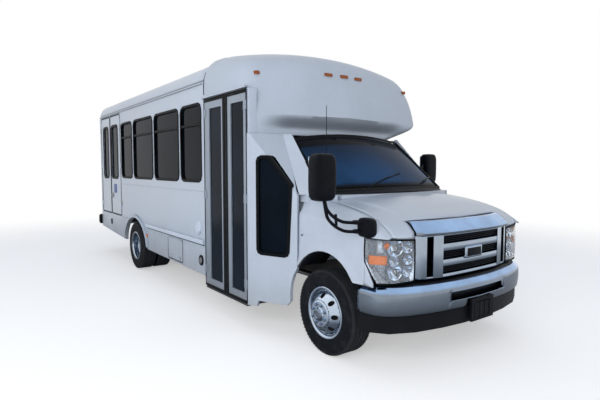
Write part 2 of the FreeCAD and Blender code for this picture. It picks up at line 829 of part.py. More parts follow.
def cab_shell():
    """Pillars, header, cowl and firewall of the cab."""
    top = cap_seam_z - fit_gap
    low = ws_low_half
    high = ws_high_half
    pillar = quad_bar([(-225, low + 7, belt_z + 2), (-366, low + 160, belt_z + 2),
                       (-366, low + 105, belt_z + 2), (-330, low + 25, belt_z + 2)],
                      [(-790, high + 8, top), (-842, high + 80, top), (-842, high + 32, top),
                       (-830, high + 10, top)])
    cowl = box(-420, 20, -low - 35, low + 35, 1300, belt_z + 2)
    cowl = cowl.common(rear_edge_form(0))
    foot = [V(-175, -low, 1352), V(-38, 0, 1358), V(-175, low, 1352)]
    cowl = cowl.fuse(bowed_band(foot, [p + glass_back - V(0.3, 0, 0.3) for p in ws_low], V(-10, 0, -16)))
    for y in (-hood_hinge_y, hood_hinge_y):
        cowl = cowl.cut(box(hood_hinge_x - 22, 60, y - 20, y + 20, 1305, belt_z + 70))
    inner = cab_side - 70
    firewall = box(-480, -460, -inner, inner, 700, 1310)
    shelf = box(-480, -300, -inner, inner, 1290, belt_z + 2)
    shell = fuse([cowl, firewall, shelf, header_strip(), pillar, mirror_y(pillar)])
    shell = shell.cut(cab_panel_right()).cut(both_sides(fender_left()))
    return largest(shell)


# Running gear
def frame_rails():
    """Two rails with cross members, the front tips and the bumper brackets."""
    rear = body_rear + 60
    rail = box(rear, 560, rail_y - rail_width / 2, rail_y + rail_width / 2, rail_bottom, floor_top - floor_thick)
    parts = [rail, mirror_y(rail)]
    for x in (body_rear + 245, body_rear + 1245, -3600, -2400, 480):
        parts.append(box(x, x + 90, -rail_y, rail_y, rail_bottom + 30, rail_bottom + 150))
    horn = box(540, 763, rail_y - 30, rail_y + 30, rail_bottom + 30, rail_bottom + 150)
    horn = horn.cut(prism_z(bumper_plan(0, bumper_depth + fit_gap, cab_side), 400, 720))
    parts += [horn, mirror_y(horn)]
    parts.append(box(540, 690, -rail_y - 20, rail_y + 20, rail_bottom + 160, rail_bottom + 200))
    return fuse(parts)


def radiator():
    """Cooling stack that stands on the front cross member behind the grille."""
    return box(600, 681, -384, 384, rail_bottom + 200 + fit_gap, 1080)


def engine_block():
    return box(-400, 330, -260, 260, 560, 1150)


def front_axle_beams():
    """Two crossed beams, each ending in the yoke that holds a kingpin."""
    yoke_in = kingpin_y - 60
    hub = tyre_radius
    beam = prism_x([(-300, hub + 35), (yoke_in, hub - 35), (yoke_in, hub + 45), (-300, hub + 115)], 20, 90)
    yoke = box(-45, 90, yoke_in - 30, yoke_in, hub - 103, hub + 103)
    upper = box(-45, 45, yoke_in - 30, kingpin_y + 28, hub + 75, hub + 103)
    lower = box(-45, 45, yoke_in - 30, kingpin_y + 28, hub - 103, hub - 75)
    left = fuse([beam, yoke, upper, lower])
    right = left.mirror(V(0, 0, 0), V(0, 1, 0)).mirror(V(0, 0, 0), V(1, 0, 0))
    hang = box(20, 90, -300, -240, hub + 80, rail_bottom + 30)
    hang_r = box(-90, -20, 240, 300, hub + 80, rail_bottom + 30)
    cross = box(-90, 90, -rail_y + rail_width / 2, rail_y - rail_width / 2, rail_bottom + 20, rail_bottom + 60)
    return fuse([left, right, hang, hang_r, cross])


def rear_axle():
    """Axle tube with its differential, and the leaf springs that carry it."""
    half = dual_centre_y - disc_thick - 0.6
    stub = 60
    tube = cylinder((-wheelbase, stub - half, tyre_radius), (0, 1, 0), 62, 2 * (half - stub))
    stubs = both_sides(pin((-wheelbase, half - stub - 1, tyre_radius), (0, 1, 0), 50, stub + 1))
    bowl = [(-165, 0), (-120, 115), (0, 165), (120, 115), (165, 0)]
    diff = turned(bowl, (-wheelbase, 0, tyre_radius), 10)
    nose = cylinder((-wheelbase, 0, tyre_radius), (1, 0, 0.1), 90, 300)
    parts = [tube, diff, nose] + stubs.Solids
    for side in (-1, 1):
        y = side * rail_y
        top = rail_bottom - spring_drop
        for i, half in enumerate((620, 480, 340)):
            z = top - leaf_spring * (i + 1)
            parts.append(box(-wheelbase - half, -wheelbase + half, y - 38, y + 38, z, z + leaf_spring))
        parts.append(box(-wheelbase - 60, -wheelbase + 60, y - 38, y + 38, tyre_radius, top))
        for x in (-wheelbase - 600, -wheelbase + 600):
            parts.append(box(x - 30, x + 30, y - 38, y + 38, top - leaf_spring, rail_bottom))
    return fuse(parts)


def drive_shaft():
    start = (-wheelbase + 330, 0, tyre_radius + 33)
    end = (-380, 0, 540)
    return rod(start, end, 42).cut(engine_block())


def exhaust_system():
    """Pipe from the engine to a silencer and on past the rear axle."""
    pipe = bent_tube([(-300, -250, 580), (-700, -280, 400), (-2400, -280, 400)], 32)
    silencer = cylinder((-2400, -280, 400), (-1, 0, 0), 95, 700)
    axle = -wheelbase
    tail = bent_tube([(-3100, -280, 400), (axle + 570, -280, 400), (axle + 370, -280, 620),
                      (axle - 380, -280, 620), (axle - 580, -280, 480), (body_rear + 65, -280, 470)], 32)
    return fuse([pipe, silencer, tail]).cut(engine_block())


def fuel_tank():
    """Saddle tank between the rails behind the axle."""
    side = rail_y - rail_width / 2
    tank = rounded_slab_x(-235, side - 5, 420, floor_top - floor_thick - 20, 50, body_rear + 365,
                          body_rear + 1215)
    straps = [box(x, x + 40, -240, side, 415, floor_top - floor_thick)
              for x in (body_rear + 545, body_rear + 1045)]
    return fuse([tank] + straps)


def wheel_box(side):
    """Raised box over a pair of rear wheels, open to the road."""
    inner = half_width - wall - fit_gap
    low = floor_top - floor_thick
    hub = -wheelbase
    half = tyre_radius + 85
    y0 = dual_centre_y - dual_spacing / 2 - tyre_width / 2 - 67
    top = floor_top + 100
    outer = box(hub - half, hub + half, side * y0, side * inner, low, top)
    room = box(hub - half + 20, hub + half - 20, side * (y0 + 20), side * 2 * half_width, low - 1, top - 20)
    return outer.cut(room)


def stepwell():
    """Two steps down to the entry door, between two cheeks."""
    y = -half_width
    low = floor_top - floor_thick
    x0 = door_rear + 6
    x1 = door_front - 6
    stairs = prism_x([(y, 241), (y, 261), (y + 289, 261), (y + 289, 511), (y + 529, 511), (y + 529, floor_top),
                      (y + 579, floor_top), (y + 579, low), (y + 549, low), (y + 549, 491), (y + 309, 491),
                      (y + 309, 241)], x0, x1)
    outline = [(y + wall, 241), (y + 309, 241), (y + 579, 470), (y + 579, floor_top), (y + wall, floor_top)]
    return fuse([stairs, prism_x(outline, x0, x0 + 20), prism_x(outline, x1 - 20, x1)])


def battery_tray():
    """Locker behind its lid, hung below the deck."""
    inner = half_width - wall - fit_gap
    low = floor_top - floor_thick
    y = 369 - half_width
    tray = box(comp_rear - 20, comp_front + 20, -inner, y, comp_low - 20, comp_low - 4)
    back = box(comp_rear - 20, comp_front + 20, y - 16, y, comp_low - 20, low)
    ends = [box(x, x + 16, -inner, y, comp_low - 20, low) for x in (comp_rear - 20, comp_front + 4)]
    return fuse([tray, back] + ends)


def floor_wells():
    return group([wheel_box(-1), wheel_box(1), stepwell(), battery_tray()])


def floor_deck():
    """Flat deck, cut out for the wheel boxes and the stepwell."""
    inner = half_width - wall - fit_gap
    cab_in = cab_side - 60
    plan = [(body_rear + wall + fit_gap, -inner), (door_front, -inner), (-485, -cab_in), (-485, cab_in),
            (cab_door_rear - 30, cab_in), (left_wall_front - wall - 10, inner), (body_rear + wall + fit_gap, inner)]
    low = floor_top - floor_thick
    deck = prism_z(plan, low, floor_top)
    for side in (-1, 1):
        block = wheel_box(side).BoundBox
        deck = deck.cut(box(block.XMin, block.XMax, block.YMin, block.YMax, low - 1, floor_top + 1))
    return deck.cut(box(door_rear + 6, door_front - 6, -half_width, 579 - half_width, low - 1, floor_top + 1))


wheel_sides = 20


def tyre(centre_x, centre_y):
    """Tyre with rounded shoulders and bulged walls."""
    h = tyre_width / 2
    r = tyre_radius
    half = [(h - 16, rim_radius + 1), (h, rim_radius + 62), (h - 6, r - 40), (h - 34, r)]
    return turned(half + [(-y, q) for y, q in reversed(half)], (centre_x, centre_y, r), wheel_sides)


front_disc = [(30, 20), (30, 95), (72, 118), (45, 187)]
rear_disc = [(-112, 20), (-112, 95), (-85, 140), (-40, 187)]
disc_thick = 12.0 - fit_gap / 2
hand_hole_radius = 22.0
hand_hole_circle = 155.0


def rim(centre_x, centre_y, side, face, hub_length):
    """Barrel and pressed disc in one profile; one with a hub has hand holes too."""
    h = tyre_width / 2
    r = rim_radius
    s = side
    outer_lip = [(h - 2, r - 4), (h - 2, r + 14), (h - 12, r)]
    inner_lip = [(12 - h, r), (2 - h, r + 14)]
    back = [(y - disc_thick, q) for y, q in reversed(face) if q != face[2][1]]
    profile = face + outer_lip + inner_lip + back
    shape = turned([(s * y, q) for y, q in profile], (centre_x, centre_y, tyre_radius), wheel_sides)
    hub_face = face[0][0]
    for i in range(4 if hub_length else 0):
        angle = math.radians(45 + 90 * i)
        x = centre_x + hand_hole_circle * math.cos(angle)
        z = tyre_radius + hand_hole_circle * math.sin(angle)
        shape = shape.cut(cylinder((x, centre_y + s * (hub_face - 60), z), (0, s, 0), hand_hole_radius, 200, 6))
    parts = [shape]
    if hub_length:
        parts.append(cylinder((centre_x, centre_y + s * (hub_face - 6), tyre_radius), (0, s, 0), 60, hub_length,
                              10))
    return fuse(parts)


def dual_rims(side, outer_y, inner_y):
    """Two dished rims bolted back to back."""
    outer = rim(-wheelbase, side * outer_y, side, rear_disc, 90)
    inner = rim(-wheelbase, side * inner_y, -side, rear_disc, 0)
    return group([outer, inner])


def knuckle_left():
    """Upright that turns on the kingpin and carries the wheel's spindle."""
    post = pin((0, kingpin_y, tyre_radius - 74.5), (0, 0, 1), 26, 149)
    spindle_end = front_track / 2 + front_disc[0][0] - disc_thick - 2 * fit_gap
    spindle = pin((0, kingpin_y, tyre_radius), (0, 1, 0), 30, spindle_end - kingpin_y)
    arm = box(-150, 0, kingpin_y - 18, kingpin_y + 12, tyre_radius - 45, tyre_radius - 20)
    return fuse([post, spindle, arm])


# Fittings
def driver_seat():
    base = box(-1190, -760, 230, 640, floor_top, 1030)
    cushion = box(-1240, -720, 190, 680, 1030.3, 1150)
    back = prism_y([(-1240, 1150), (-1130, 1150), (-1220, 1790), (-1320, 1790)], 190, 680)
    return group([base.cut(box(-1160, -790, 260, 610, floor_top - 1, 1000)), cushion.fuse(back)])


def passenger_seat(x, y0, y1):
    """Two-place seat on a pedestal, facing forwards."""
    cushion = box(x - 430, x, y0, y1, 1110, 1190)
    back = prism_y([(x - 430, 1150), (x - 350, 1150), (x - 450, 1840), (x - 520, 1840)], y0, y1)
    aisle = y0 if y0 > 0 else y1
    side = 1 if y0 > 0 else -1
    leg = box(x - 320, x - 120, aisle + side * 60, aisle + side * 180, floor_top, 1110)
    return fuse([cushion, back, leg])


def passenger_seats():
    rows = []
    for i in range(5):
        rows.append(passenger_seat(-2200 - 760 * i, 330, half_width - 69))
    for i in range(3):
        rows.append(passenger_seat(-2350 - 760 * i, 69 - half_width, -330))
    return group(rows)


def grab_rails():
    """Stanchions beside the door and along the stepwell."""
    post_a = rod((-1870, -630, floor_top), (-1870, -630, 2620), 16)
    rail_a = rod((-1870, -630, 1560), (-1870, 79 - half_width, 1560), 16)
    post_b = rod((-898, -620, floor_top), (-898, -620, cap_seam_z - 41), 16)
    rail_b = bent_tube([(-898, -620, 1560), (-930, -900, 1300), (-930, 119 - half_width, 900)], 16)
    return group([post_a.fuse(rail_a), post_b.fuse(rail_b)])


def wheelchair_lift():
    """Folded lift behind its doors: two towers, a platform standing up, and a base."""
    x0 = lift_rear + 110
    x1 = lift_front - 110
    y = -half_width
    base = box(x0, x1, y + 79, y + 319, floor_top, 800)
    towers = [box(x, x + 90, y + 99, y + 209, 800, 1900) for x in (x0, x1 - 90)]
    platform = box(x0 + 120, x1 - 120, y + 119, y + 159, 830, 1780)
    ribs = [box(x0 + 120 + i * 200, x0 + 140 + i * 200, y + 159, y + 184, 830, 1780) for i in range(5)]
    bridge = box(x0 + 80, x1 - 80, y + 129, y + 149, 850, 900)
    return fuse([base] + towers + [platform, bridge] + ribs)


wheel_centre = V(-690, 400, 1400)
wheel_tilt = V(-0.72, 0, 0.69)
column_radius = 24.0
grip_circle = 190.0
grip_radius = 15.0


def dashboard():
    """Moulded dash with the engine cover between the seats."""
    dash = prism_y([(-480, 1000), (-560, 960), (-680, 1130), (-690, 1260), (-560, 1340), (-480, 1340)],
                   220 - cab_side, cab_side - 140)
    cover = prism_y([(-480, floor_top), (-1000, floor_top), (-940, 1080), (-620, 1160), (-480, 1160)],
                    -300, 140)
    axis = V(wheel_tilt).normalize()
    hole = bore(wheel_centre - axis * 310, axis, column_radius + fit_gap, 300)
    return dash.fuse(cover).cut(hole)


def steering_wheel():
    """Rim, three spokes and hub, turning about the sloping column."""
    axis = V(wheel_tilt).normalize()
    across = V(0, 1, 0)
    up = axis.cross(across)
    count = 16
    rings = []
    for i in range(count):
        a = 2 * math.pi * i / count
        out = across * math.cos(a) + up * math.sin(a)
        ring = []
        for k in range(6):
            b = 2 * math.pi * k / 6
            ring.append(wheel_centre + out * (grip_circle + grip_radius * math.cos(b))
                        + axis * (grip_radius * math.sin(b)))
        rings.append(ring)
    faces = []
    for i in range(count):
        a = rings[i]
        b = rings[(i + 1) % count]
        for k in range(6):
            j = (k + 1) % 6
            faces.append([tuple(q) for q in (a[k], a[j], b[j], b[k])])
    grip = sewn(faces)
    parts = [grip, cylinder(wheel_centre - axis * 40, axis, 55, 50)]
    for angle in (0, 180, 270):
        a = math.radians(angle)
        out = across * math.cos(a) + up * math.sin(a)
        parts.append(rod(wheel_centre - axis * 12, wheel_centre + out * (grip_circle - 5), 11, 6))
    parts.append(pin(wheel_centre - axis * 220, axis, column_radius, 180))
    return fuse(parts)


def mirror_head(x0, x1, y0, y1, z0, z1):
    """Tall head with every edge drawn in."""
    r = 34.0
    cut = 14.0

    def level(inset, z):
        a0, a1, b0, b1 = x0 + inset, x1 - inset, y0 + inset, y1 - inset
        k = r - inset
        return [(a0 + k, b0, z), (a1 - k, b0, z), (a1, b0 + k, z), (a1, b1 - k, z), (a1 - k, b1, z),
                (a0 + k, b1, z), (a0, b1 - k, z), (a0, b0 + k, z)]

    return skinned([level(cut, z0), level(0, z0 + r), level(0, z1 - r), level(cut, z1)])


def mirror_arm(points, radius=13):
    return bent_tube(points, radius)


def mirror_right():
    """Tall head on a two-tube arm from a moulded foot on the fender."""
    y = -cab_side
    head = mirror_head(206, 350, y - 345, y - 150, 1351, 1710)
    upper = mirror_arm([(262, y - 215, 1360), (262, y - 190, 1290), (395, y - 120, 1190), (480, y - 10, 1185)])
    lower = mirror_arm([(262, y - 215, 1300), (262, y - 185, 1225), (395, y - 105, 1120), (480, y - 5, 1115)])
    brace = rod((325, y - 150, 1245), (325, y - 145, 1168), 11)
    foot = prism_y([(420, 1085), (520, 1085), (560, 1215), (540, 1270), (450, 1270), (420, 1230)],
                   y - 30, y + 60)
    seated = largest(foot.cut(mirror_y(fender_left())))
    return fuse([head, upper, lower, brace, seated])


def mirror_left():
    """Tall head on two arms from the driver's door."""
    y = cab_side
    head = mirror_head(-770, -630, y + 160, y + 345, 1410, 1774)
    upper = mirror_arm([(-700, y + 165, 1640), (-640, y + 60, 1560), (-560, y + 12, 1330)])
    lower = mirror_arm([(-700, y + 165, 1470), (-640, y + 60, 1380), (-560, y + 12, 1250)])
    foot = box(-620, -500, y + fit_gap, y + 24, 1200, 1350)
    return fuse([head, upper, lower, foot])


def driver_door():
    """Hollow-framed cab door: a lower skin and a leaning window frame."""
    x0 = cab_door_rear
    x1 = fender_rear - swing_gap
    inner = cab_side - 54
    lower = prism_y([(x0, 470), (-430, 470), (x1, 660), (x1, belt_z), (x0, belt_z)], inner, cab_side)
    top = cap_seam_z - swing_gap
    outer = [(x0, belt_z), (x1, belt_z), (-850, top), (x0, top)]
    hole = [(x0 + 70, belt_z + 20), (x1 - 120, belt_z + 20), (-900, top - 70), (x0 + 70, top - 70)]

    def leaning(points, thick_in, thick_out):
        rows = []
        for y in (inner - thick_in, cab_side + thick_out):
            rows.append([(x, y - door_lean * (z - belt_z) / (top - belt_z), z) for x, z in points])
        return skinned(rows)

    frame = leaning(outer, 0, 0).cut(leaning(hole, 60, 60))
    shape = lower.fuse(frame).removeSplitter()
    hinges = []
    axis_x = fender_rear + hinge_over
    for z in cab_hinges:
        hinges.append(box(x1 - 60, x1, cab_side - 1, cab_side + 6, z, z + 60))
        hinges.append(box(x1 - 60, axis_x, cab_side + fit_gap, cab_side + 6, z, z + 60))
        hinges.append(barrel((axis_x, cab_side + hinge_out, z), (0, 0, 1), 60))
    return fuse([shape] + hinges)


def driver_glass():
    x0 = cab_door_rear
    x1 = fender_rear - swing_gap
    top = cap_seam_z - swing_gap
    g = fit_gap
    hole = [(x0 + 70 + g, belt_z + 20 + g), (x1 - 120 - 3 * g, belt_z + 20 + g),
            (-900 - g, top - 70 - g), (x0 + 70 + g, top - 70 - g)]
    rows = []
    for y in (cab_side - 30, cab_side - 24):
        rows.append([(x, y - door_lean * (z - belt_z) / (top - belt_z), z) for x, z in hole])
    return skinned(rows)


def leaf(x0, x1, z0, z1, hole, y_out, hinge_x, hinge_rows):
    """Flat door leaf with a window hole and outside hinges near one edge."""
    y_in = y_out - leaf_thick
    slab = box(x0, x1, y_in, y_out, z0, z1)
    hx0, hx1, hz0, hz1, radius = hole
    slab = slab.cut(rounded_slab(hx0, hx1, hz0, hz1, radius, y_in - wall, y_out + wall))
    parts = [slab]
    inward = 1 if hinge_x <= x0 + 10 else -1
    edge = x0 if inward > 0 else x1
    for z in hinge_rows:
        parts.append(barrel((hinge_x, y_out + hinge_out, z), (0, 0, 1), 90))
        parts.append(box(hinge_x, edge + inward * 45, y_out + fit_gap, y_out + hinge_out, z, z + 90))
        parts.append(box(edge, edge + inward * 45, y_out - 1, y_out + hinge_out, z, z + 90))
    return mirror_y(fuse(parts))


def leaf_pane(hole, y_out):
    hx0, hx1, hz0, hz1, radius = hole
    y_mid = y_out - leaf_thick / 2
    g = fit_gap
    pane = rounded_slab(hx0 + g, hx1 - g, hz0 + g, hz1 - g, radius - g, y_mid - glass_thick / 2,
                        y_mid + glass_thick / 2)
    return mirror_y(pane)


entry_rear_hole = (-1723.0, -1433.0, leaf_glass_bottom, leaf_glass_top, 12.0)
entry_front_hole = (-1226.0, -961.0, leaf_glass_bottom, leaf_glass_top, 12.0)
lift_rear_hole = (-6286.0, -5955.0, 1430.0, 2339.0, 60.0)
lift_front_hole = (-5749.0, -5355.0, 1430.0, 2339.0, 60.0)
entry_hinges = (420.0, 1260.0, 2160.0)
lift_hinges = (900.0, 1600.0, 2350.0)
half_gap = swing_gap / 2


def entry_leaf_rear():
    return leaf(door_rear + half_gap, door_split - half_gap, door_sill + half_gap + 2, door_top - half_gap,
                entry_rear_hole, half_width, door_rear - hinge_over, entry_hinges)


def entry_leaf_front():
    return leaf(door_split + half_gap, door_front - half_gap, door_sill + half_gap + 2,
                door_top - half_gap, entry_front_hole, half_width, door_front + hinge_over, entry_hinges)


def lift_leaf_rear():
    return leaf(lift_rear + half_gap, lift_split - half_gap, lift_sill + half_gap, lift_top - half_gap,
                lift_rear_hole, half_width, lift_rear - hinge_over, lift_hinges)


def lift_leaf_front():
    return leaf(lift_split + half_gap, lift_front - half_gap, lift_sill + half_gap, lift_top - half_gap,
                lift_front_hole, half_width, lift_front + hinge_over, lift_hinges)


def compartment_door():
    """Locker lid hinged along its top edge."""
    g = half_gap
    slab = box(comp_rear + g, comp_front - g, half_width - leaf_thick, half_width, comp_low + g, comp_top - g)
    knuckle = barrel((comp_rear + 40, half_width + hinge_out, comp_top + hinge_over), (1, 0, 0),
                     comp_front - comp_rear - 80)
    strap = box(comp_rear + 40, comp_front - 40, half_width - 1, half_width + hinge_out, comp_top - g - 30,
                comp_top - g)
    lip = box(comp_rear + 40, comp_front - 40, half_width + fit_gap, half_width + hinge_out,
              comp_top - g - 30, comp_top + hinge_over)
    latches = [box(x - 30, x + 30, half_width - 1, half_width + 9, comp_low + 30, comp_low + 75)
               for x in (comp_rear + 120, comp_front - 120)]
    return mirror_y(fuse([slab, knuckle, strap, lip] + latches))


def body_trim():
    """Rub rails, drip rails and the flares round the rear wheel openings."""
    rails = []
    y0 = half_width + fit_gap
    y1 = half_width + 14
    arch_front = rear_arch_centre + rear_arch_half + 60
    arch_rear = rear_arch_centre - rear_arch_half - 60
    rails.append(box(arch_front, shell_front - 76, y0, y1, 722, 776))
    rails.append(box(lift_front + 40, arch_rear + 250, y0, y1, 722, 776))
    rails.append(box(body_rear + 60, shell_front - 20, y0, y1 + 6, eave_z - 26, eave_z - 8))
    flare = rear_arch_cut(y0, y1 + 12, 48).cut(rear_arch_cut(0, 2 * half_width, 2))
    flare = flare.cut(box(-8000, 0, 0, 2 * half_width, 0, skirt_z + 60))
    rails = [rail.cut(rear_arch_cut(0, 2 * half_width, 49)) for rail in rails]
    header = box(door_rear - 24, door_front - 2, y0, y1 + 10, door_top + 4, door_top + 30)
    left = group(rails + [flare])
    right = mirror_y(group(rails + [flare, header]))
    return group([left, right])


def rear_bumper():
    """Steel bumper bar on brackets from the rails."""
    side = half_width - 69
    bar = rounded_slab(body_rear - 135, body_rear - 55, 540, 700, 18, -side, side)
    arms = [box(body_rear - 65, body_rear + 60, y - 35, y + 35, 560, 680) for y in (-rail_y, rail_y)]
    return fuse([bar] + arms)


def marker_lamp(cap, y, z):
    """Small lens seated on the cap's face, or on its rounded corner."""
    origin = V(cap_waist, 0, cap_seam_z)
    flat = V(cap_front(y, z), y, z) - origin
    flat.normalize()
    seat = cap_point(origin, flat, 0)
    out = V(seat.x - cap_waist, seat.y, 0).normalize()
    if abs(y) < cab_side:
        out = V(1, 0, 0)
    side = V(-out.y, out.x, 0)
    corners = []
    for a, b in ((-48, -16), (48, -16), (48, 16), (-48, 16)):
        corners.append(seat + side * a + V(0, 0, b) - out * lamp_seat)
    face = Part.Face(Part.makePolygon(corners + [corners[0]]))
    return face.extrude(out * (lamp_seat + 20)).cut(cap)


lamp_seat = 22.0


def body_lamps():
    """Amber marker lamps on the cap and red lamp stacks at the rear."""
    cap = front_cap()
    lamps = [marker_lamp(cap, y, z) for y, z in ((0, 2602), (216, 2600), (-216, 2600), (half_width - 119, 2555),
                                                   (119 - half_width, 2555))]
    for side in (-1, 1):
        for z in (900, 1040, 1180, 2420):
            lamps.append(cylinder((body_rear - fit_gap, side * (half_width - 159), z), (-1, 0, 0), 55, 22, 8))
    return group(lamps)


def window_frames():
    rings = [window_ring(x0, x1, sill_z, window_top, half_width) for x0, x1 in left_windows]
    right = [window_ring(x0, x1, sill_z, window_top, half_width) for x0, x1 in right_windows]
    rings += [mirror_y(r) for r in right]
    pent = pentagon_solid(-fit_gap, panel_thick, frame_proud, 55).cut(
        pentagon_solid(-frame_width, 3 * panel_thick, 3 * panel_thick, 30))
    return group(rings + [pent, rear_frame()])


def rear_frame():
    outer = rounded_slab_x(-rear_window_half + fit_gap, rear_window_half - fit_gap, rear_window_sill + fit_gap,
                           rear_window_top - fit_gap, window_radius, body_rear - frame_proud, body_rear + wall)
    inner = rounded_slab_x(-rear_window_half + frame_width, rear_window_half - frame_width,
                           rear_window_sill + frame_width, rear_window_top - frame_width,
                           window_radius - frame_width, body_rear - wall, body_rear + 2 * wall)
    return outer.cut(inner)


def side_glass():
    panes = []
    for x0, x1 in left_windows:
        panes += window_pane(x0, x1, sill_z, window_top, half_width)
    for x0, x1 in right_windows:
        panes += [mirror_y(p) for p in window_pane(x0, x1, sill_z, window_top, half_width)]
    panes.append(pentagon_solid(-frame_width - fit_gap, panel_thick / 2 + glass_thick / 2,
                                -panel_thick / 2 + glass_thick / 2, 29))
    edge = frame_width + fit_gap
    panes.append(rounded_slab_x(-rear_window_half + edge, rear_window_half - edge, rear_window_sill + edge,
                                rear_window_top - edge, window_radius - edge, body_rear + wall / 2,
                                body_rear + wall / 2 + glass_thick))
    return group(panes)


def build():
    """Write every node."""
    outer_dual = dual_centre_y + dual_spacing / 2
    inner_dual = dual_centre_y - dual_spacing / 2
    front_y = front_track / 2
    nodes = {
        "side_wall_left": side_wall_left(),
        "side_wall_right": side_wall_right(),
        "rear_wall": rear_wall(),
        "roof_panel": roof_panel(),
        "front_cap": front_cap(),
        "cab_panel_right": cab_panel_right(),
        "cab_panel_left": cab_panel_left(),
        "window_frames": window_frames(),
        "side_glass": side_glass(),
        "floor_deck": floor_deck(),
        "floor_wells": floor_wells(),
        "hood": hood(),
        "fenders": both_sides(fender_left()),
        "headlamps": both_sides(headlamp_left()),
        "grille": grille(),
        "front_bumper": front_bumper(),
        "bumper_valance": bumper_valance(),
        "windshield": windshield(),
        "cab_shell": cab_shell(),
        "frame_rails": frame_rails(),
        "radiator": radiator(),
        "engine_block": engine_block(),
        "front_axle_beams": front_axle_beams(),
        "rear_axle": rear_axle(),
        "drive_shaft": drive_shaft(),
        "exhaust_system": exhaust_system(),
        "fuel_tank": fuel_tank(),
        "driver_seat": driver_seat(),
        "passenger_seats": passenger_seats(),
        "grab_rails": grab_rails(),
        "wheelchair_lift": wheelchair_lift(),
        "dashboard": dashboard(),
        "steering_wheel": steering_wheel(),
        "mirror_right": mirror_right(),
        "mirror_left": mirror_left(),
        "driver_door": driver_door(),
        "driver_door_glass": driver_glass(),
        "entry_leaf_rear": entry_leaf_rear(),
        "entry_leaf_front": entry_leaf_front(),
        "entry_glass_rear": leaf_pane(entry_rear_hole, half_width),
        "entry_glass_front": leaf_pane(entry_front_hole, half_width),
        "lift_leaf_rear": lift_leaf_rear(),
        "lift_leaf_front": lift_leaf_front(),
        "lift_glass_rear": leaf_pane(lift_rear_hole, half_width),
        "lift_glass_front": leaf_pane(lift_front_hole, half_width),
        "compartment_door": compartment_door(),
        "body_trim": body_trim(),
        "rear_bumper": rear_bumper(),
        "body_lamps": body_lamps(),
        "knuckle_left": knuckle_left(),
        "knuckle_right": mirror_y(knuckle_left()).mirror(V(0, 0, 0), V(1, 0, 0)),
    }
    for side, name in ((1, "left"), (-1, "right")):
        nodes["tyre_front_" + name] = tyre(0, side * front_y)
        nodes["rim_front_" + name] = rim(0, side * front_y, side, front_disc, 60)
        nodes["tyres_rear_" + name] = group([tyre(-wheelbase, side * outer_dual),
                                             tyre(-wheelbase, side * inner_dual)])
        nodes["rims_rear_" + name] = dual_rims(side, outer_dual, inner_dual)
    for name, shape in nodes.items():
        export(name, shape)


build()
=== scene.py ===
"""A short coach on a van chassis: the look of every piece, made over the solid model's frame."""

import math

import bmesh
import bpy
import numpy as np
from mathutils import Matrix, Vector


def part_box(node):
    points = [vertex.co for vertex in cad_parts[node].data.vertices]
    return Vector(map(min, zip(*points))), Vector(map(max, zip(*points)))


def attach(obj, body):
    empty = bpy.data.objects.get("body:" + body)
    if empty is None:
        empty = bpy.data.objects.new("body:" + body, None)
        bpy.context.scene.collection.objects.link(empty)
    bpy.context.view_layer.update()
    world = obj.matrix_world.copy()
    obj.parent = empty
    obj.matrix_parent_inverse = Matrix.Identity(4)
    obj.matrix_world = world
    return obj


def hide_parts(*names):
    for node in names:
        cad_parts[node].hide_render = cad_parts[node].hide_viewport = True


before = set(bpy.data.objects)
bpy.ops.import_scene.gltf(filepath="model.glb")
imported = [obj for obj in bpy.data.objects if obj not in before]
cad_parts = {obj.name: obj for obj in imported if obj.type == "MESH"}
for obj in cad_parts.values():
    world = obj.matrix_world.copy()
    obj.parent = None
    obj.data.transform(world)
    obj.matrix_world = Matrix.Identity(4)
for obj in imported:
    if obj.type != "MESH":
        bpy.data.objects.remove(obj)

bl_info = {
    "name": "Short coach",
    "version": (1, 0, 0),
    "blender": (4, 5, 0),
    "location": "View3D > Sidebar > Coach",
    "description": "Builds a short coach with a van nose, piece by piece",
    "category": "Object",
}

# The script's stations run forwards from the front axle; AXLE is where that axle stands in the frame.
AXLE = (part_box("tyre_front_right")[0].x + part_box("tyre_front_right")[1].x) / 2
HALF = -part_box("side_wall_right")[0].y
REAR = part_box("rear_wall")[0].x - AXLE
REAR_AXLE = (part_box("tyres_rear_right")[0].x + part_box("tyres_rear_right")[1].x) / 2 - AXLE
CAB_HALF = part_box("driver_door")[1].y - 0.02
TYRE = (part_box("tyre_front_right")[1].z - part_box("tyre_front_right")[0].z) / 2
CAP_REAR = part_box("front_cap")[0].x - AXLE
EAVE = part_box("side_wall_right")[1].z
ARCH_RADIUS = TYRE + 0.080
USUAL_WEAR = 0.35


def extent(name):
    """A solid piece's first and last station, side and height."""
    low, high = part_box(name)
    return low.x - AXLE, high.x - AXLE, low.y, high.y, low.z, high.z


# Numbers a user would change

def length(name, default, description):
    """A size in metres."""
    return bpy.props.FloatProperty(name=name, default=default, description=description, unit="LENGTH")


def share(name, default, description):
    """A plain number between nought and one."""
    return bpy.props.FloatProperty(name=name, default=default, description=description, min=0.0, max=1.0)


def tone(name, red, green, blue, description):
    """A colour given in screen steps of 0 to 255 and kept as light."""
    steps = np.array([red, green, blue]) / 255
    light = np.where(steps <= 0.04045, steps / 12.92, ((steps + 0.055) / 1.055) ** 2.4)
    return bpy.props.FloatVectorProperty(name=name, default=tuple(light), description=description,
                                         subtype="COLOR", size=3, min=0.0, max=1.0)


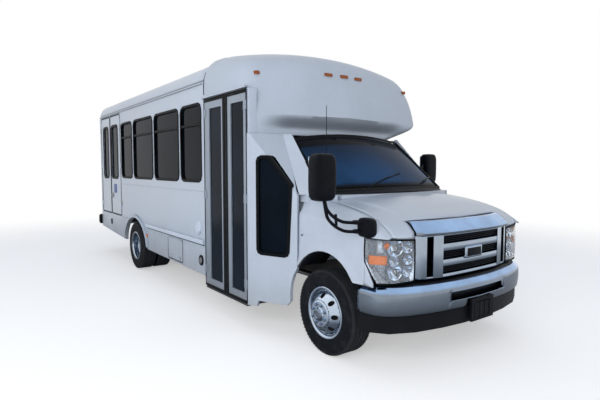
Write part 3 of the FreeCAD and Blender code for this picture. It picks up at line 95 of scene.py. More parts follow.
class CoachColours(bpy.types.PropertyGroup):
    """The finishes' colours."""

    paint: tone("Paint", 190, 201, 216, "White body paint as it looks in open shade")
    rubber: tone("Rubber", 14, 17, 22, "Gaskets, seals and trim")
    moulded: tone("Moulded black", 11, 16, 26, "Mirror heads, apron and other moulded parts")
    glass: tone("Window glass", 8, 17, 27, "Tinted side glass")
    screen: tone("Windscreen glass", 28, 62, 98, "Windscreen with the sky on it")
    screen_band: tone("Windscreen band", 4, 12, 22, "Shaded band along the top of the windscreen")
    # The three chrome colours are painted reflections: what the chrome shows ahead, of the sky above and of
    # the road below.
    bright: tone("Chrome", 136, 146, 158, "Chrome that faces ahead")
    painted_sky_on_chrome: tone("Chrome from above", 150, 181, 222, "Chrome that faces the sky")
    painted_road_on_chrome: tone("Chrome from below", 50, 58, 68, "Chrome that faces the road")
    door_metal: tone("Door metal", 150, 161, 175, "Anodised frames of the entry doors")
    tread: tone("Tread", 52, 55, 61, "Tyre tread")
    sidewall: tone("Sidewall", 20, 25, 34, "Tyre sidewall")
    amber: tone("Amber", 224, 112, 8, "Marker lamps and side reflectors")
    red: tone("Red", 150, 16, 18, "Tail lamps")
    dust: tone("Road dust", 128, 124, 118, "Dust on the lower body and the wheels")
    sign: tone("Sign blue", 32, 74, 150, "Bare plate beside the lift doors")
    cloth: tone("Seat cloth", 62, 72, 96, "Seat covers")
    deck: tone("Floor covering", 70, 73, 76, "Rubber floor")
    chassis: tone("Chassis black", 24, 25, 28, "Rails, axles and tank")
    lining: tone("Lining", 150, 150, 148, "Moulded cab lining")
    floor: tone("Studio floor", 250, 250, 250, "Floor of the studio")


class CoachSizes(bpy.types.PropertyGroup):
    """Sizes of the shaped pieces."""

    skin: length("Skin", 0.040, "Thickness of the moulded cap and roof")
    sheet: length("Sheet metal", 0.018, "Thickness of the hood and fenders as seen at their edges")
    arch: length("Front arch radius", ARCH_RADIUS, "Radius of the front wheel opening")
    bar_rise: length("Bumper face height", 0.222, "Height of the chrome bar")
    gasket: length("Gasket width", 0.026, "Width of the rubber round the windscreen")
    groove: length("Tread groove depth", 0.010, "Depth of the tyres' grooves")
    tube: length("Mirror tube radius", 0.013, "Radius of the mirror arms")
    wear: share("Wear", USUAL_WEAR, "How much dust and unevenness the finishes show")


# Surfaces

def curve(knots, values, at):
    """Smooth curve through knots: cubic between them, with slopes that never overshoot."""
    x = np.asarray(knots, float)
    y = np.asarray(values, float)
    step = np.diff(x)
    rise = np.diff(y) / step
    slope = np.zeros(len(x))
    same = rise[:-1] * rise[1:] > 0
    w1 = 2 * step[1:] + step[:-1]
    w2 = step[1:] + 2 * step[:-1]
    safe0 = np.where(same, rise[:-1], 1.0)
    safe1 = np.where(same, rise[1:], 1.0)
    slope[1:-1] = np.where(same, (w1 + w2) / (w1 / safe0 + w2 / safe1), 0.0)
    slope[0] = rise[0]
    slope[-1] = rise[-1]
    t = np.clip(np.asarray(at, float), x[0], x[-1])
    i = np.clip(np.searchsorted(x, t, side="right") - 1, 0, len(x) - 2)
    s = (t - x[i]) / step[i]
    a = (1 + 2 * s) * (1 - s) ** 2 * y[i] + s * (1 - s) ** 2 * step[i] * slope[i]
    b = s * s * (3 - 2 * s) * y[i + 1] + s * s * (s - 1) * step[i] * slope[i + 1]
    return a + b


def blend(a, b, value):
    """Nought below a, one above b, eased between."""
    t = np.clip((value - a) / (b - a), 0.0, 1.0)
    return t * t * (3 - 2 * t)


def points(x, y, z):
    """Stacks three arrays of any matching shapes into points."""
    return np.stack(np.broadcast_arrays(np.asarray(x, float), y, z), -1)


def around(count):
    """Angles once round, evenly spaced."""
    return np.linspace(0, 2 * math.pi, count, endpoint=False)


def unit(way):
    """Each vector drawn to a length of one."""
    return way / np.linalg.norm(way, axis=-1, keepdims=True)


def between(a, b, count):
    """Straight rows of points from the line a to the line b."""
    t = np.linspace(0, 1, count)[:, None, None]
    return np.asarray(a, float)[None] * (1 - t) + np.asarray(b, float)[None] * t


class Skin:
    """Grids of points that become one mesh, in stations from the front axle."""

    def __init__(self):
        self.points = []
        self.faces = []
        self.spots = []
        self.count = 0

    def grid(self, p, flip=False, round_u=False, round_v=False):
        """Quads between neighbours of p[i, j]; a closed way joins its last row to its first."""
        m, n = p.shape[:2]
        index = np.arange(m * n).reshape(m, n) + self.count
        u, v = np.meshgrid(np.linspace(0, 1, m), np.linspace(0, 1, n), indexing="ij")
        if round_u:
            index = np.vstack([index, index[:1]])
        if round_v:
            index = np.hstack([index, index[:, :1]])
        quads = np.stack([index[:-1, :-1], index[1:, :-1], index[1:, 1:], index[:-1, 1:]], -1).reshape(-1, 4)
        self.points.append(p.reshape(-1, 3))
        self.spots.append(np.stack([u, v], -1).reshape(-1, 2))
        self.faces.append(quads[:, ::-1] if flip else quads)
        self.count += m * n
        return self

    def both(self, p, **closed):
        """The grid and its mirror image across the middle of the coach."""
        self.grid(p, **closed)
        return self.grid(p * (1, -1, 1), flip=True, **closed)

    def plate(self, low, high, radius=0.004, steps=2):
        """A box with every edge rounded: points of the box drawn onto a smaller box grown by the radius."""
        low = np.asarray(low, float)
        high = np.asarray(high, float)
        r = min(radius, *(0.499 * (high - low)))
        turn = r * (1 - np.tan(np.linspace(math.pi / 4, 0, steps + 1)))
        lines = [np.concatenate([low[k] + turn, (high[k] - turn)[::-1]]) for k in range(3)]
        for k in range(3):
            a, b = (k + 1) % 3, (k + 2) % 3
            for side, place in ((0, low[k]), (1, high[k])):
                p = np.zeros((len(lines[a]), len(lines[b]), 3))
                p[..., a] = lines[a][:, None]
                p[..., b] = lines[b][None]
                p[..., k] = place
                inner = np.clip(p, low + r, high - r)
                out = p - inner
                p = inner + r * unit(out)
                self.grid(p, flip=side == 0)
        return self

    def pillow(self, centre, size, squareness=3.0, steps=16):
        """A rounded form: |x/a|^n + |y/b|^n + |z/c|^n = 1, walked by two angles."""
        n = 2 / squareness
        v = np.linspace(-math.pi / 2, math.pi / 2, steps + 1)[:, None]
        u = around(2 * steps)[None]

        def eased(value):
            return np.sign(value) * np.abs(value) ** n

        ring = eased(np.cos(v))
        p = points(ring * eased(np.cos(u)), ring * eased(np.sin(u)), eased(np.sin(v)))
        return self.grid(p * np.asarray(size) / 2 + np.asarray(centre), flip=True, round_v=True)

    def tube(self, path, radius, sides=12):
        """A circle carried along a path, turned no more than the path turns, closed at both ends."""
        path = np.asarray(path, float)
        along = unit(np.gradient(path, axis=0))
        across = np.cross(along[0], (0.0, 0.0, 1.0) if abs(along[0][2]) < 0.9 else (1.0, 0.0, 0.0))
        angle = around(sides)[:, None]
        rings = [np.repeat(path[:1], sides, 0)]
        for place, way in zip(path, along):
            across = unit(across - way * np.dot(across, way))
            rings.append(place + radius * (np.cos(angle) * across + np.sin(angle) * np.cross(way, across)))
        rings.append(np.repeat(path[-1:], sides, 0))
        return self.grid(np.array(rings), flip=True, round_v=True)

    def turned(self, profile, centre, sides=48, flip=False):
        """A profile of (along Y, radius) pairs turned about the Y axis through the centre."""
        profile = np.asarray(profile, float)
        angle = around(sides)[None]
        along, reach = profile[:, :1], profile[:, 1:]
        p = points(reach * np.cos(angle), along + 0 * angle, reach * np.sin(angle))
        return self.grid(p + np.asarray(centre), flip, round_v=True)

    def ribbon(self, path, out, width, depth, edge=0.25, closed=False):
        """A flat-backed rounded strip carried along a path; out points away from the surface under it."""
        path = np.asarray(path, float)
        out = np.broadcast_to(np.asarray(out, float), path.shape)
        if closed:
            ring = np.vstack([path[-1:], path, path[:1]])
            along = ring[2:] - ring[:-2]
        else:
            along = np.gradient(path, axis=0)
        across = unit(np.cross(out, along))
        flat = 0.5 - edge / 2
        form = np.array([(-0.5, 0), (-0.5, 1 - edge), (-flat, 1), (flat, 1), (0.5, 1 - edge), (0.5, 0)])
        sideways = across[:, None] * form[None, :, :1] * width
        p = path[:, None] + sideways + out[:, None] * form[None, :, 1:] * depth
        if not closed:
            ends = [np.repeat(path[[k]] + out[[k]] * depth / 2, 6, 0) for k in (0, -1)]
            p = np.concatenate([ends[0][None], p, ends[1][None]])
        return self.grid(p, round_u=closed, round_v=True)


def rounded_ring(corners, radius, steps=6):
    """A closed line through flat corners (x, z), each turned with an arc of the radius."""
    corners = np.asarray(corners, float)
    line = []
    for i, here in enumerate(corners):
        back = unit(corners[i - 1] - here)
        ahead = unit(corners[(i + 1) % len(corners)] - here)
        half = math.acos(np.clip(np.dot(back, ahead), -1, 1)) / 2
        middle = here + unit(back + ahead) * radius / math.sin(half)
        start = here + back * radius / math.tan(half) - middle
        turn = math.pi - 2 * half
        sign = -1 if back[0] * ahead[1] - back[1] * ahead[0] > 0 else 1
        for angle in np.linspace(0, turn, steps + 1) * sign:
            line.append(middle + (start[0] * math.cos(angle) - start[1] * math.sin(angle),
                                  start[0] * math.sin(angle) + start[1] * math.cos(angle)))
    return np.array(line)


def smooth_line(corners, count=40):
    """A smooth line through given points, spaced by the distance between them."""
    corners = np.asarray(corners, float)
    place = np.concatenate([[0], np.cumsum(np.linalg.norm(np.diff(corners, axis=0), axis=1))])
    at = np.linspace(0, place[-1], count)
    return np.stack([curve(place, corners[:, k], at) for k in range(corners.shape[1])], -1)


def bowed(middle, side, half, count):
    """Points along a shallow bow: a parabola through a middle point and two mirrored side points."""
    y = np.linspace(-half, half, count)
    t = (y / half) ** 2
    return points(middle[0] + (side[0] - middle[0]) * t, y, middle[1] + (side[1] - middle[1]) * t)


# Pieces

JOIN = 2e-5
SHARP = 32


def make_piece(name, skin, look, stands_for=(), body="coach", angle=SHARP, turned_out=True, wall=0.0):
    """Turns a skin into an object that rides on a body, with its finish, edges and, if asked, a wall."""
    mesh = bpy.data.meshes.new(name)
    p = np.concatenate(skin.points)
    p[:, 0] += AXLE
    spots = np.concatenate(skin.spots)
    mesh.from_pydata(p.tolist(), [], np.concatenate(skin.faces).tolist())
    chart = mesh.uv_layers.new(name="chart")
    corner = np.empty(len(mesh.loops), int)
    mesh.loops.foreach_get("vertex_index", corner)
    chart.data.foreach_set("uv", spots[corner].astype(np.float32).ravel())
    form = bmesh.new()
    form.from_mesh(mesh)
    bmesh.ops.remove_doubles(form, verts=form.verts, dist=JOIN)
    bmesh.ops.dissolve_degenerate(form, edges=form.edges, dist=JOIN / 20)
    if turned_out:
        bmesh.ops.recalc_face_normals(form, faces=form.faces)
    form.to_mesh(mesh)
    form.free()
    mesh.polygons.foreach_set("use_smooth", np.ones(len(mesh.polygons), bool))
    mesh.set_sharp_from_angle(angle=math.radians(angle))
    slot, made = finish(look)
    mesh.materials.append(made)
    obj = bpy.data.objects.new(name, mesh)
    bpy.context.scene.collection.objects.link(obj)
    if wall:
        shell = obj.modifiers.new("wall", "SOLIDIFY")
        shell.thickness = wall
        shell.offset = -1.0
        shell.use_even_offset = False
    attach(obj, body)
    if stands_for:
        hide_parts(*stands_for)
    return obj


def settle(obj):
    """Makes the modifiers' result the object's own mesh."""
    view = bpy.context.evaluated_depsgraph_get()
    mesh = bpy.data.meshes.new_from_object(obj.evaluated_get(view))
    obj.modifiers.clear()
    obj.data = mesh


def cut_away(obj, look, low, high):
    """Takes a box, given by two corners in stations, out of a closed piece of that finish."""
    settle(obj)
    cutter = make_piece("cutter", Skin().plate(low, high, 0.0005, 1), look)
    step = obj.modifiers.new("cut", "BOOLEAN")
    step.operation = "DIFFERENCE"
    step.solver = "EXACT"
    step.object = cutter
    bpy.context.view_layer.update()
    settle(obj)
    bpy.data.objects.remove(cutter)
    obj.data.set_sharp_from_angle(angle=math.radians(SHARP))


def dress(look, *names, radius):
    """Gives solid-model nodes a finish, smooth curves and softened edges, their own points untouched."""
    made = finish(look)[1]
    for name in names:
        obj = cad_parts[name]
        mesh = obj.data
        if not obj.material_slots:
            mesh.materials.append(made)
        for slot in obj.material_slots:
            slot.material = made
        if "custom_normal" in mesh.attributes:
            mesh.attributes.remove(mesh.attributes["custom_normal"])
        mesh.polygons.foreach_set("use_smooth", np.ones(len(mesh.polygons), bool))
        obj.modifiers.new("joined", "WELD").merge_threshold = JOIN
        edge = obj.modifiers.new("edge", "BEVEL")
        edge.width = radius
        edge.segments = 2
        edge.limit_method = "ANGLE"
        edge.angle_limit = math.radians(35)
        edge.harden_normals = True
        edge.use_clamp_overlap = True


# Finishes

GLASS_IOR = 1.2
LENS_RIBS = 220.0
FINISHES = {}


class Graph:
    """Places and joins shader nodes in one tree."""

    def __init__(self, tree):
        self.tree = tree

    def add(self, kind, feeds=None, **settings):
        """A node with its settings, and its inputs fed by sockets or plain values."""
        node = self.tree.nodes.new(kind)
        for key, value in settings.items():
            setattr(node, key, value)
        self.feed(node.inputs, feeds or {})
        return node

    def feed(self, inputs, feeds):
        """Joins a socket to each named input, or sets it plainly."""
        for key, value in feeds.items():
            if isinstance(value, bpy.types.NodeSocket):
                self.tree.links.new(value, inputs[key])
            elif inputs[key].type == "RGBA":
                inputs[key].default_value = (*value, 1.0)
            else:
                inputs[key].default_value = value

    def maths(self, operation, a, b=0.0, clamp=False):
        """One sum on two values."""
        return self.add("ShaderNodeMath", {0: a, 1: b}, operation=operation, use_clamp=clamp).outputs[0]

    def plus(self, a, b):
        """Both values added."""
        return self.maths("ADD", a, b)

    def less(self, a, b):
        """The first value with the second taken off."""
        return self.maths("SUBTRACT", a, b)

    def times(self, a, b):
        """Both values multiplied."""
        return self.maths("MULTIPLY", a, b)

    def mix(self, factor, a, b):
        """From colour a to colour b by the factor."""
        return self.add("ShaderNodeMix", {0: factor, 6: a, 7: b}, data_type="RGBA").outputs[2]

    def spread(self, value, low, high, to_low=0.0, to_high=1.0):
        """Stretches a value from one range to another, eased at both ends."""
        feeds = {"Value": value, "From Min": low, "From Max": high, "To Min": to_low, "To Max": to_high}
        return self.add("ShaderNodeMapRange", feeds, interpolation_type="SMOOTHSTEP").outputs["Result"]

    def noise(self, position, scale, detail=3.0, stretch=None):
        """Soft clouds at a scale, stretched along the axes if asked."""
        if stretch:
            position = self.add("ShaderNodeMapping", {"Vector": position, "Scale": stretch}).outputs[0]
        feeds = {"Vector": position, "Scale": scale, "Detail": detail}
        return self.add("ShaderNodeTexNoise", feeds).outputs["Fac"]

    def wave(self, position, scale, distortion, axis):
        """Soft ridges across one axis."""
        feeds = {"Vector": position, "Scale": scale, "Distortion": distortion}
        return self.add("ShaderNodeTexWave", feeds, bands_direction=axis).outputs["Fac"]

    def bump(self, height, distance, strength):
        """The surface's direction, tilted by a height."""
        feeds = {"Height": height, "Distance": distance, "Strength": strength}
        return self.add("ShaderNodeBump", feeds).outputs["Normal"]

    def place(self):
        """Where a point lies on its own piece."""
        return self.add("ShaderNodeTexCoord").outputs["Object"]

    def parts(self, vector):
        """The three parts of a vector."""
        return self.add("ShaderNodeSeparateXYZ", {0: vector}).outputs

    def upward(self):
        """How far the surface faces up."""
        return self.parts(self.add("ShaderNodeNewGeometry").outputs["Normal"])["Z"]

    def dust(self, place, height, amount):
        """Mask of the road's dust."""
        return use_group(self, "road_dust", {"Position": place, "Height": height, "Amount": amount})["Mask"]


def new_group(name, inputs, outputs):
    """An empty shader node group with named inputs and outputs."""
    tree = bpy.data.node_groups.new(name, "ShaderNodeTree")
    for title, kind, default in inputs:
        socket = tree.interface.new_socket(name=title, in_out="INPUT", socket_type="NodeSocket" + kind)
        if default is not None:
            socket.default_value = default
    for title, kind in outputs:
        tree.interface.new_socket(name=title, in_out="OUTPUT", socket_type="NodeSocket" + kind)
    graph = Graph(tree)
    return graph, graph.add("NodeGroupInput").outputs, graph.add("NodeGroupOutput").inputs


def weathered_group():
    """Broad and fine unevenness: two mask values and a bumped normal."""
    inputs = [("Position", "Vector", None), ("Broad Scale", "Float", 1.5), ("Fine Scale", "Float", 60.0),
              ("Depth", "Float", 0.001)]
    graph, given, made = new_group("weathered", inputs, [("Broad", "Float"), ("Fine", "Float"),
                                                         ("Normal", "Vector")])
    broad = graph.noise(given["Position"], given["Broad Scale"], 4.0)
    fine = graph.noise(given["Position"], given["Fine Scale"], 6.0)
    graph.feed(made, {
        "Broad": graph.spread(broad, 0.34, 0.66),
        "Fine": graph.spread(fine, 0.36, 0.68),
        "Normal": graph.bump(graph.plus(graph.times(broad, 3.0), fine), given["Depth"], 1.0),
    })
    return graph.tree


def road_dust_group():
    """Dust thrown up from the road: full at the ground, ragged, gone above a height."""
    inputs = [("Position", "Vector", None), ("Height", "Float", 0.9), ("Amount", "Float", 0.4)]
    graph, given, made = new_group("road_dust", inputs, [("Mask", "Float")])
    cloud = graph.noise(given["Position"], 3.0, 6.0)
    streak = graph.noise(given["Position"], 9.0, 3.0, (1.0, 1.0, 0.15))
    ragged = graph.plus(graph.times(cloud, 0.45), graph.times(streak, 0.3))
    level = graph.plus(graph.parts(given["Position"])["Z"], graph.times(graph.less(ragged, 0.38), 0.9))
    near = graph.less(1.0, graph.spread(level, 0.05, given["Height"]))
    graph.feed(made, {"Mask": graph.maths("MULTIPLY", near, given["Amount"], clamp=True)})
    return graph.tree


def grain_group():
    """A fine moulded grain as rounded cells, with a normal and a mask of the pits."""
    inputs = [("Position", "Vector", None), ("Scale", "Float", 400.0), ("Depth", "Float", 0.0004)]
    graph, given, made = new_group("grain", inputs, [("Pits", "Float"), ("Normal", "Vector")])
    cells = graph.add("ShaderNodeTexVoronoi", {"Vector": given["Position"], "Scale": given["Scale"]},
                      feature="SMOOTH_F1").outputs["Distance"]
    graph.feed(made, {"Pits": cells, "Normal": graph.bump(cells, given["Depth"], 0.6)})
    return graph.tree


def use_group(graph, name, feeds):
    """Places a shared group, built when first asked for, and gives its outputs."""
    makers = {"weathered": weathered_group, "road_dust": road_dust_group, "grain": grain_group}
    tree = bpy.data.node_groups.get(name) or makers[name]()
    return graph.add("ShaderNodeGroup", feeds, node_tree=tree).outputs


def new_finish(name):
    """An empty material with its graph and its main shader."""
    found = bpy.data.materials.new(name)
    found.use_nodes = True
    graph = Graph(found.node_tree)
    return found, graph, found.node_tree.nodes["Principled BSDF"]


def darker(colour, factor):
    """The colour with its light scaled."""
    return tuple(min(c * factor, 1.0) for c in colour)


def hue(name, factor=1.0):
    """One of the coach's colours with its light scaled."""
    return darker(tuple(getattr(bpy.context.scene.coach_colours, name)), factor)


def coat(name, colour, rough, broad, fine, depth, shade, shine=0.0, dust=0.0, dust_height=0.0, metal=0.0):
    """Painted, moulded or cast: two tones, painted shade where it faces the road, and dust low down."""
    found, graph, main = new_finish(name)
    place = graph.place()
    mark = use_group(graph, "weathered", {"Position": place, "Broad Scale": broad, "Fine Scale": fine,
                                          "Depth": depth})
    both = graph.plus(graph.times(mark["Broad"], 0.65), graph.times(mark["Fine"], 0.35))
    base = graph.mix(both, darker(colour, shade), colour)
    # Painted shade: where the surface faces the road, its colour falls to about a third.
    base = graph.mix(graph.spread(graph.upward(), -0.72, -0.02), darker(colour, 0.36), base)
    roughness = graph.spread(both, 0.0, 1.0, rough - 0.06, rough + 0.06)
    if dust:
        wear = bpy.context.scene.coach_sizes.wear / USUAL_WEAR
        mask = graph.dust(place, dust_height, dust * wear)
        base = graph.mix(mask, base, hue("dust"))
        roughness = graph.maths("ADD", roughness, graph.times(mask, 0.4), clamp=True)
    graph.feed(main.inputs, {"Base Color": base, "Roughness": roughness, "Normal": mark["Normal"],
                             "Coat Weight": shine, "Coat Roughness": 0.06, "Metallic": metal})
    return found


def grained(name, colour, rough, scale, depth=0.0004, dust=0.0):
    """Moulded plastic or rubber with a fine grain and a little dust."""
    found, graph, main = new_finish(name)
    place = graph.place()
    grain = use_group(graph, "grain", {"Position": place, "Scale": scale, "Depth": depth})
    mark = use_group(graph, "weathered", {"Position": place, "Broad Scale": 4.0})
    base = graph.mix(mark["Broad"], darker(colour, 0.75), darker(colour, 1.15))
    base = graph.mix(graph.times(grain["Pits"], 0.4), base, darker(colour, 0.55))
    if dust:
        base = graph.mix(graph.dust(place, 0.8, dust), base, hue("dust", 0.7))
    roughness = graph.spread(mark["Fine"], 0.0, 1.0, rough - 0.08, rough + 0.08)
    graph.feed(main.inputs, {"Base Color": base, "Roughness": roughness, "Normal": grain["Normal"],
                             "Specular IOR Level": 0.1})
    return found


def polished(name, ahead, above, below, rough=0.09, dust=0.0, painted_glow=0.0):
    """Bright metal with painted reflections: its colour turns with the surface from the sky's blue above to
    the road's dark below.
    """
    found, graph, main = new_finish(name)
    place = graph.place()
    up = graph.upward()
    mark = use_group(graph, "weathered", {"Position": place, "Broad Scale": 5.0, "Fine Scale": 90.0,
                                          "Depth": 0.0002})
    # Painted reflection: the road's dark where it faces down, the sky's blue where it faces up, the middle
    # colour between.
    base = graph.mix(graph.spread(up, -0.35, 0.05), below, ahead)
    base = graph.mix(graph.spread(up, 0.15, 0.75), base, above)
    base = graph.mix(graph.times(mark["Broad"], 0.25), base, darker(ahead, 0.55))
    roughness = graph.spread(mark["Fine"], 0.0, 1.0, rough, rough + 0.08)
    if dust:
        mask = graph.dust(place, 0.7, dust)
        base = graph.mix(mask, base, hue("dust"))
        roughness = graph.plus(roughness, graph.times(mask, 0.4))
    graph.feed(main.inputs, {"Base Color": base, "Roughness": roughness, "Metallic": 1.0})
    # Painted glow: the metal gives off a little light of its own though nothing lights it.
    if painted_glow:
        graph.feed(main.inputs, {"Emission Color": base, "Emission Strength": painted_glow})
    return found


def tinted(name, colour, clear, rough=0.02, streaks=0.3, shine=0.15):
    """Tinted glass with faint wiped streaks in its gloss."""
    found, graph, main = new_finish(name)
    place = graph.place()
    streak = graph.noise(place, 6.0, 5.0, (1.0, 1.0, 0.3))
    cloud = graph.spread(graph.noise(place, 1.6), 0.35, 0.65)
    base = graph.mix(cloud, darker(colour, 1.0 - streaks), darker(colour, 1.0 + streaks))
    roughness = graph.spread(streak, 0.3, 0.7, rough, rough + 0.05)
    graph.feed(main.inputs, {"Base Color": base, "Roughness": roughness, "Transmission Weight": clear,
                             "IOR": GLASS_IOR, "Specular IOR Level": shine})
    return found


def screen_glass(name):
    """Windscreen: a dark border and a shaded band along the top, from the piece's own chart."""
    found, graph, main = new_finish(name)
    part = graph.parts(graph.add("ShaderNodeTexCoord").outputs["UV"])
    across = graph.times(graph.maths("ABSOLUTE", graph.less(part["Y"], 0.5)), 2.0)
    up = part["X"]
    foot = graph.less(1.0, graph.spread(up, 0.05, 0.14))
    border = graph.maths("MAXIMUM", graph.spread(across, 0.962, 0.972), foot)
    cloud = graph.spread(graph.noise(graph.place(), 2.2), 0.35, 0.65)
    # The windscreen's blue is a painted sky reflection; the colour darkens towards the top and ends in the
    # dark band.
    base = graph.mix(cloud, hue("screen"), hue("screen", 1.5))
    base = graph.mix(graph.spread(up, 0.2, 0.9), base, hue("screen", 0.45))
    base = graph.mix(graph.spread(up, 0.78, 0.84), base, hue("screen_band"))
    base = graph.mix(border, base, (0.004, 0.005, 0.006))
    graph.feed(main.inputs, {"Base Color": base, "Roughness": graph.spread(border, 0.0, 1.0, 0.03, 0.25),
                             "Transmission Weight": 0.15, "IOR": GLASS_IOR, "Specular IOR Level": 0.1})
    return found


def lens(name, colour, painted_glow=0.0, clear=0.0):
    """Ribbed moulded lens."""
    found, graph, main = new_finish(name)
    ridge = graph.wave(graph.place(), LENS_RIBS, 0.4, "Z")
    base = graph.mix(ridge, darker(colour, 0.55), darker(colour, 1.2))
    # Painted glow: the lens gives off a little light though no lamp behind it is lit.
    graph.feed(main.inputs, {"Base Color": base, "Normal": graph.bump(ridge, 0.0006, 0.6), "Roughness": 0.15,
                             "Transmission Weight": clear, "Coat Weight": 0.1, "Specular IOR Level": 0.2,
                             "Emission Color": base, "Emission Strength": painted_glow})
    return found


def marker_lens(name):
    """Body lamps: amber ahead and on the upper corners, red low at the rear, white for reversing."""
    found, graph, main = new_finish(name)
    place = graph.place()
    part = graph.parts(place)
    ridge = graph.wave(place, LENS_RIBS, 0.4, "Z")
    behind = graph.maths("LESS_THAN", part["X"], AXLE + REAR + 0.03)
    low = graph.maths("LESS_THAN", part["Z"], 1.060)
    foot = graph.maths("LESS_THAN", part["Z"], 0.900)
    base = graph.mix(graph.times(behind, low), hue("amber", 0.45), hue("red"))
    base = graph.mix(graph.times(behind, foot), base, (0.55, 0.57, 0.6))
    base = graph.mix(graph.times(ridge, 0.5), base, (0.05, 0.02, 0.01))
    graph.feed(main.inputs, {"Base Color": base, "Normal": graph.bump(ridge, 0.0006, 0.6), "Roughness": 0.15,
                             "Coat Weight": 0.2, "Specular IOR Level": 0.2})
    return found


def tyre_rubber(name, hub):
    """Tyre rubber: grey dusty tread outside, dark sidewall, faint rings round the hub."""
    found, graph, main = new_finish(name)
    place = graph.place()
    part = graph.parts(place)
    x = graph.less(part["X"], hub)
    z = graph.less(part["Z"], TYRE)
    reach = graph.maths("SQRT", graph.plus(graph.times(x, x), graph.times(z, z)))
    ring = graph.maths("SINE", graph.times(reach, 900.0))
    cloud = graph.noise(place, 14.0, 5.0)
    side = graph.mix(graph.spread(cloud, 0.3, 0.7), hue("sidewall", 0.35), hue("sidewall", 0.75))
    base = graph.mix(graph.spread(reach, TYRE - 0.028, TYRE - 0.004), side, hue("tread", 0.6))
    base = graph.mix(graph.times(graph.spread(cloud, 0.45, 0.8), 0.07), base, hue("dust"))
    height = graph.plus(graph.times(ring, 0.15), cloud)
    graph.feed(main.inputs, {"Base Color": base, "Roughness": graph.spread(cloud, 0.3, 0.7, 0.62, 0.85),
                             "Normal": graph.bump(height, 0.0012, 0.5), "Specular IOR Level": 0.15})
    return found


def woven(name, colour):
    """Woven seat cover: two crossed waves with a soft sheen."""
    found, graph, main = new_finish(name)
    place = graph.place()
    weave = graph.times(graph.wave(place, 160.0, 0.3, "X"), graph.wave(place, 160.0, 0.3, "Y"))
    fleck = graph.noise(place, 40.0, 4.0)
    base = graph.mix(weave, darker(colour, 0.6), darker(colour, 1.25))
    base = graph.mix(graph.spread(fleck, 0.55, 0.7, 0.0, 0.5), base, darker(colour, 2.2))
    graph.feed(main.inputs, {"Base Color": base, "Normal": graph.bump(weave, 0.0008, 0.6), "Roughness": 0.9,
                             "Sheen Weight": 0.3})
    return found


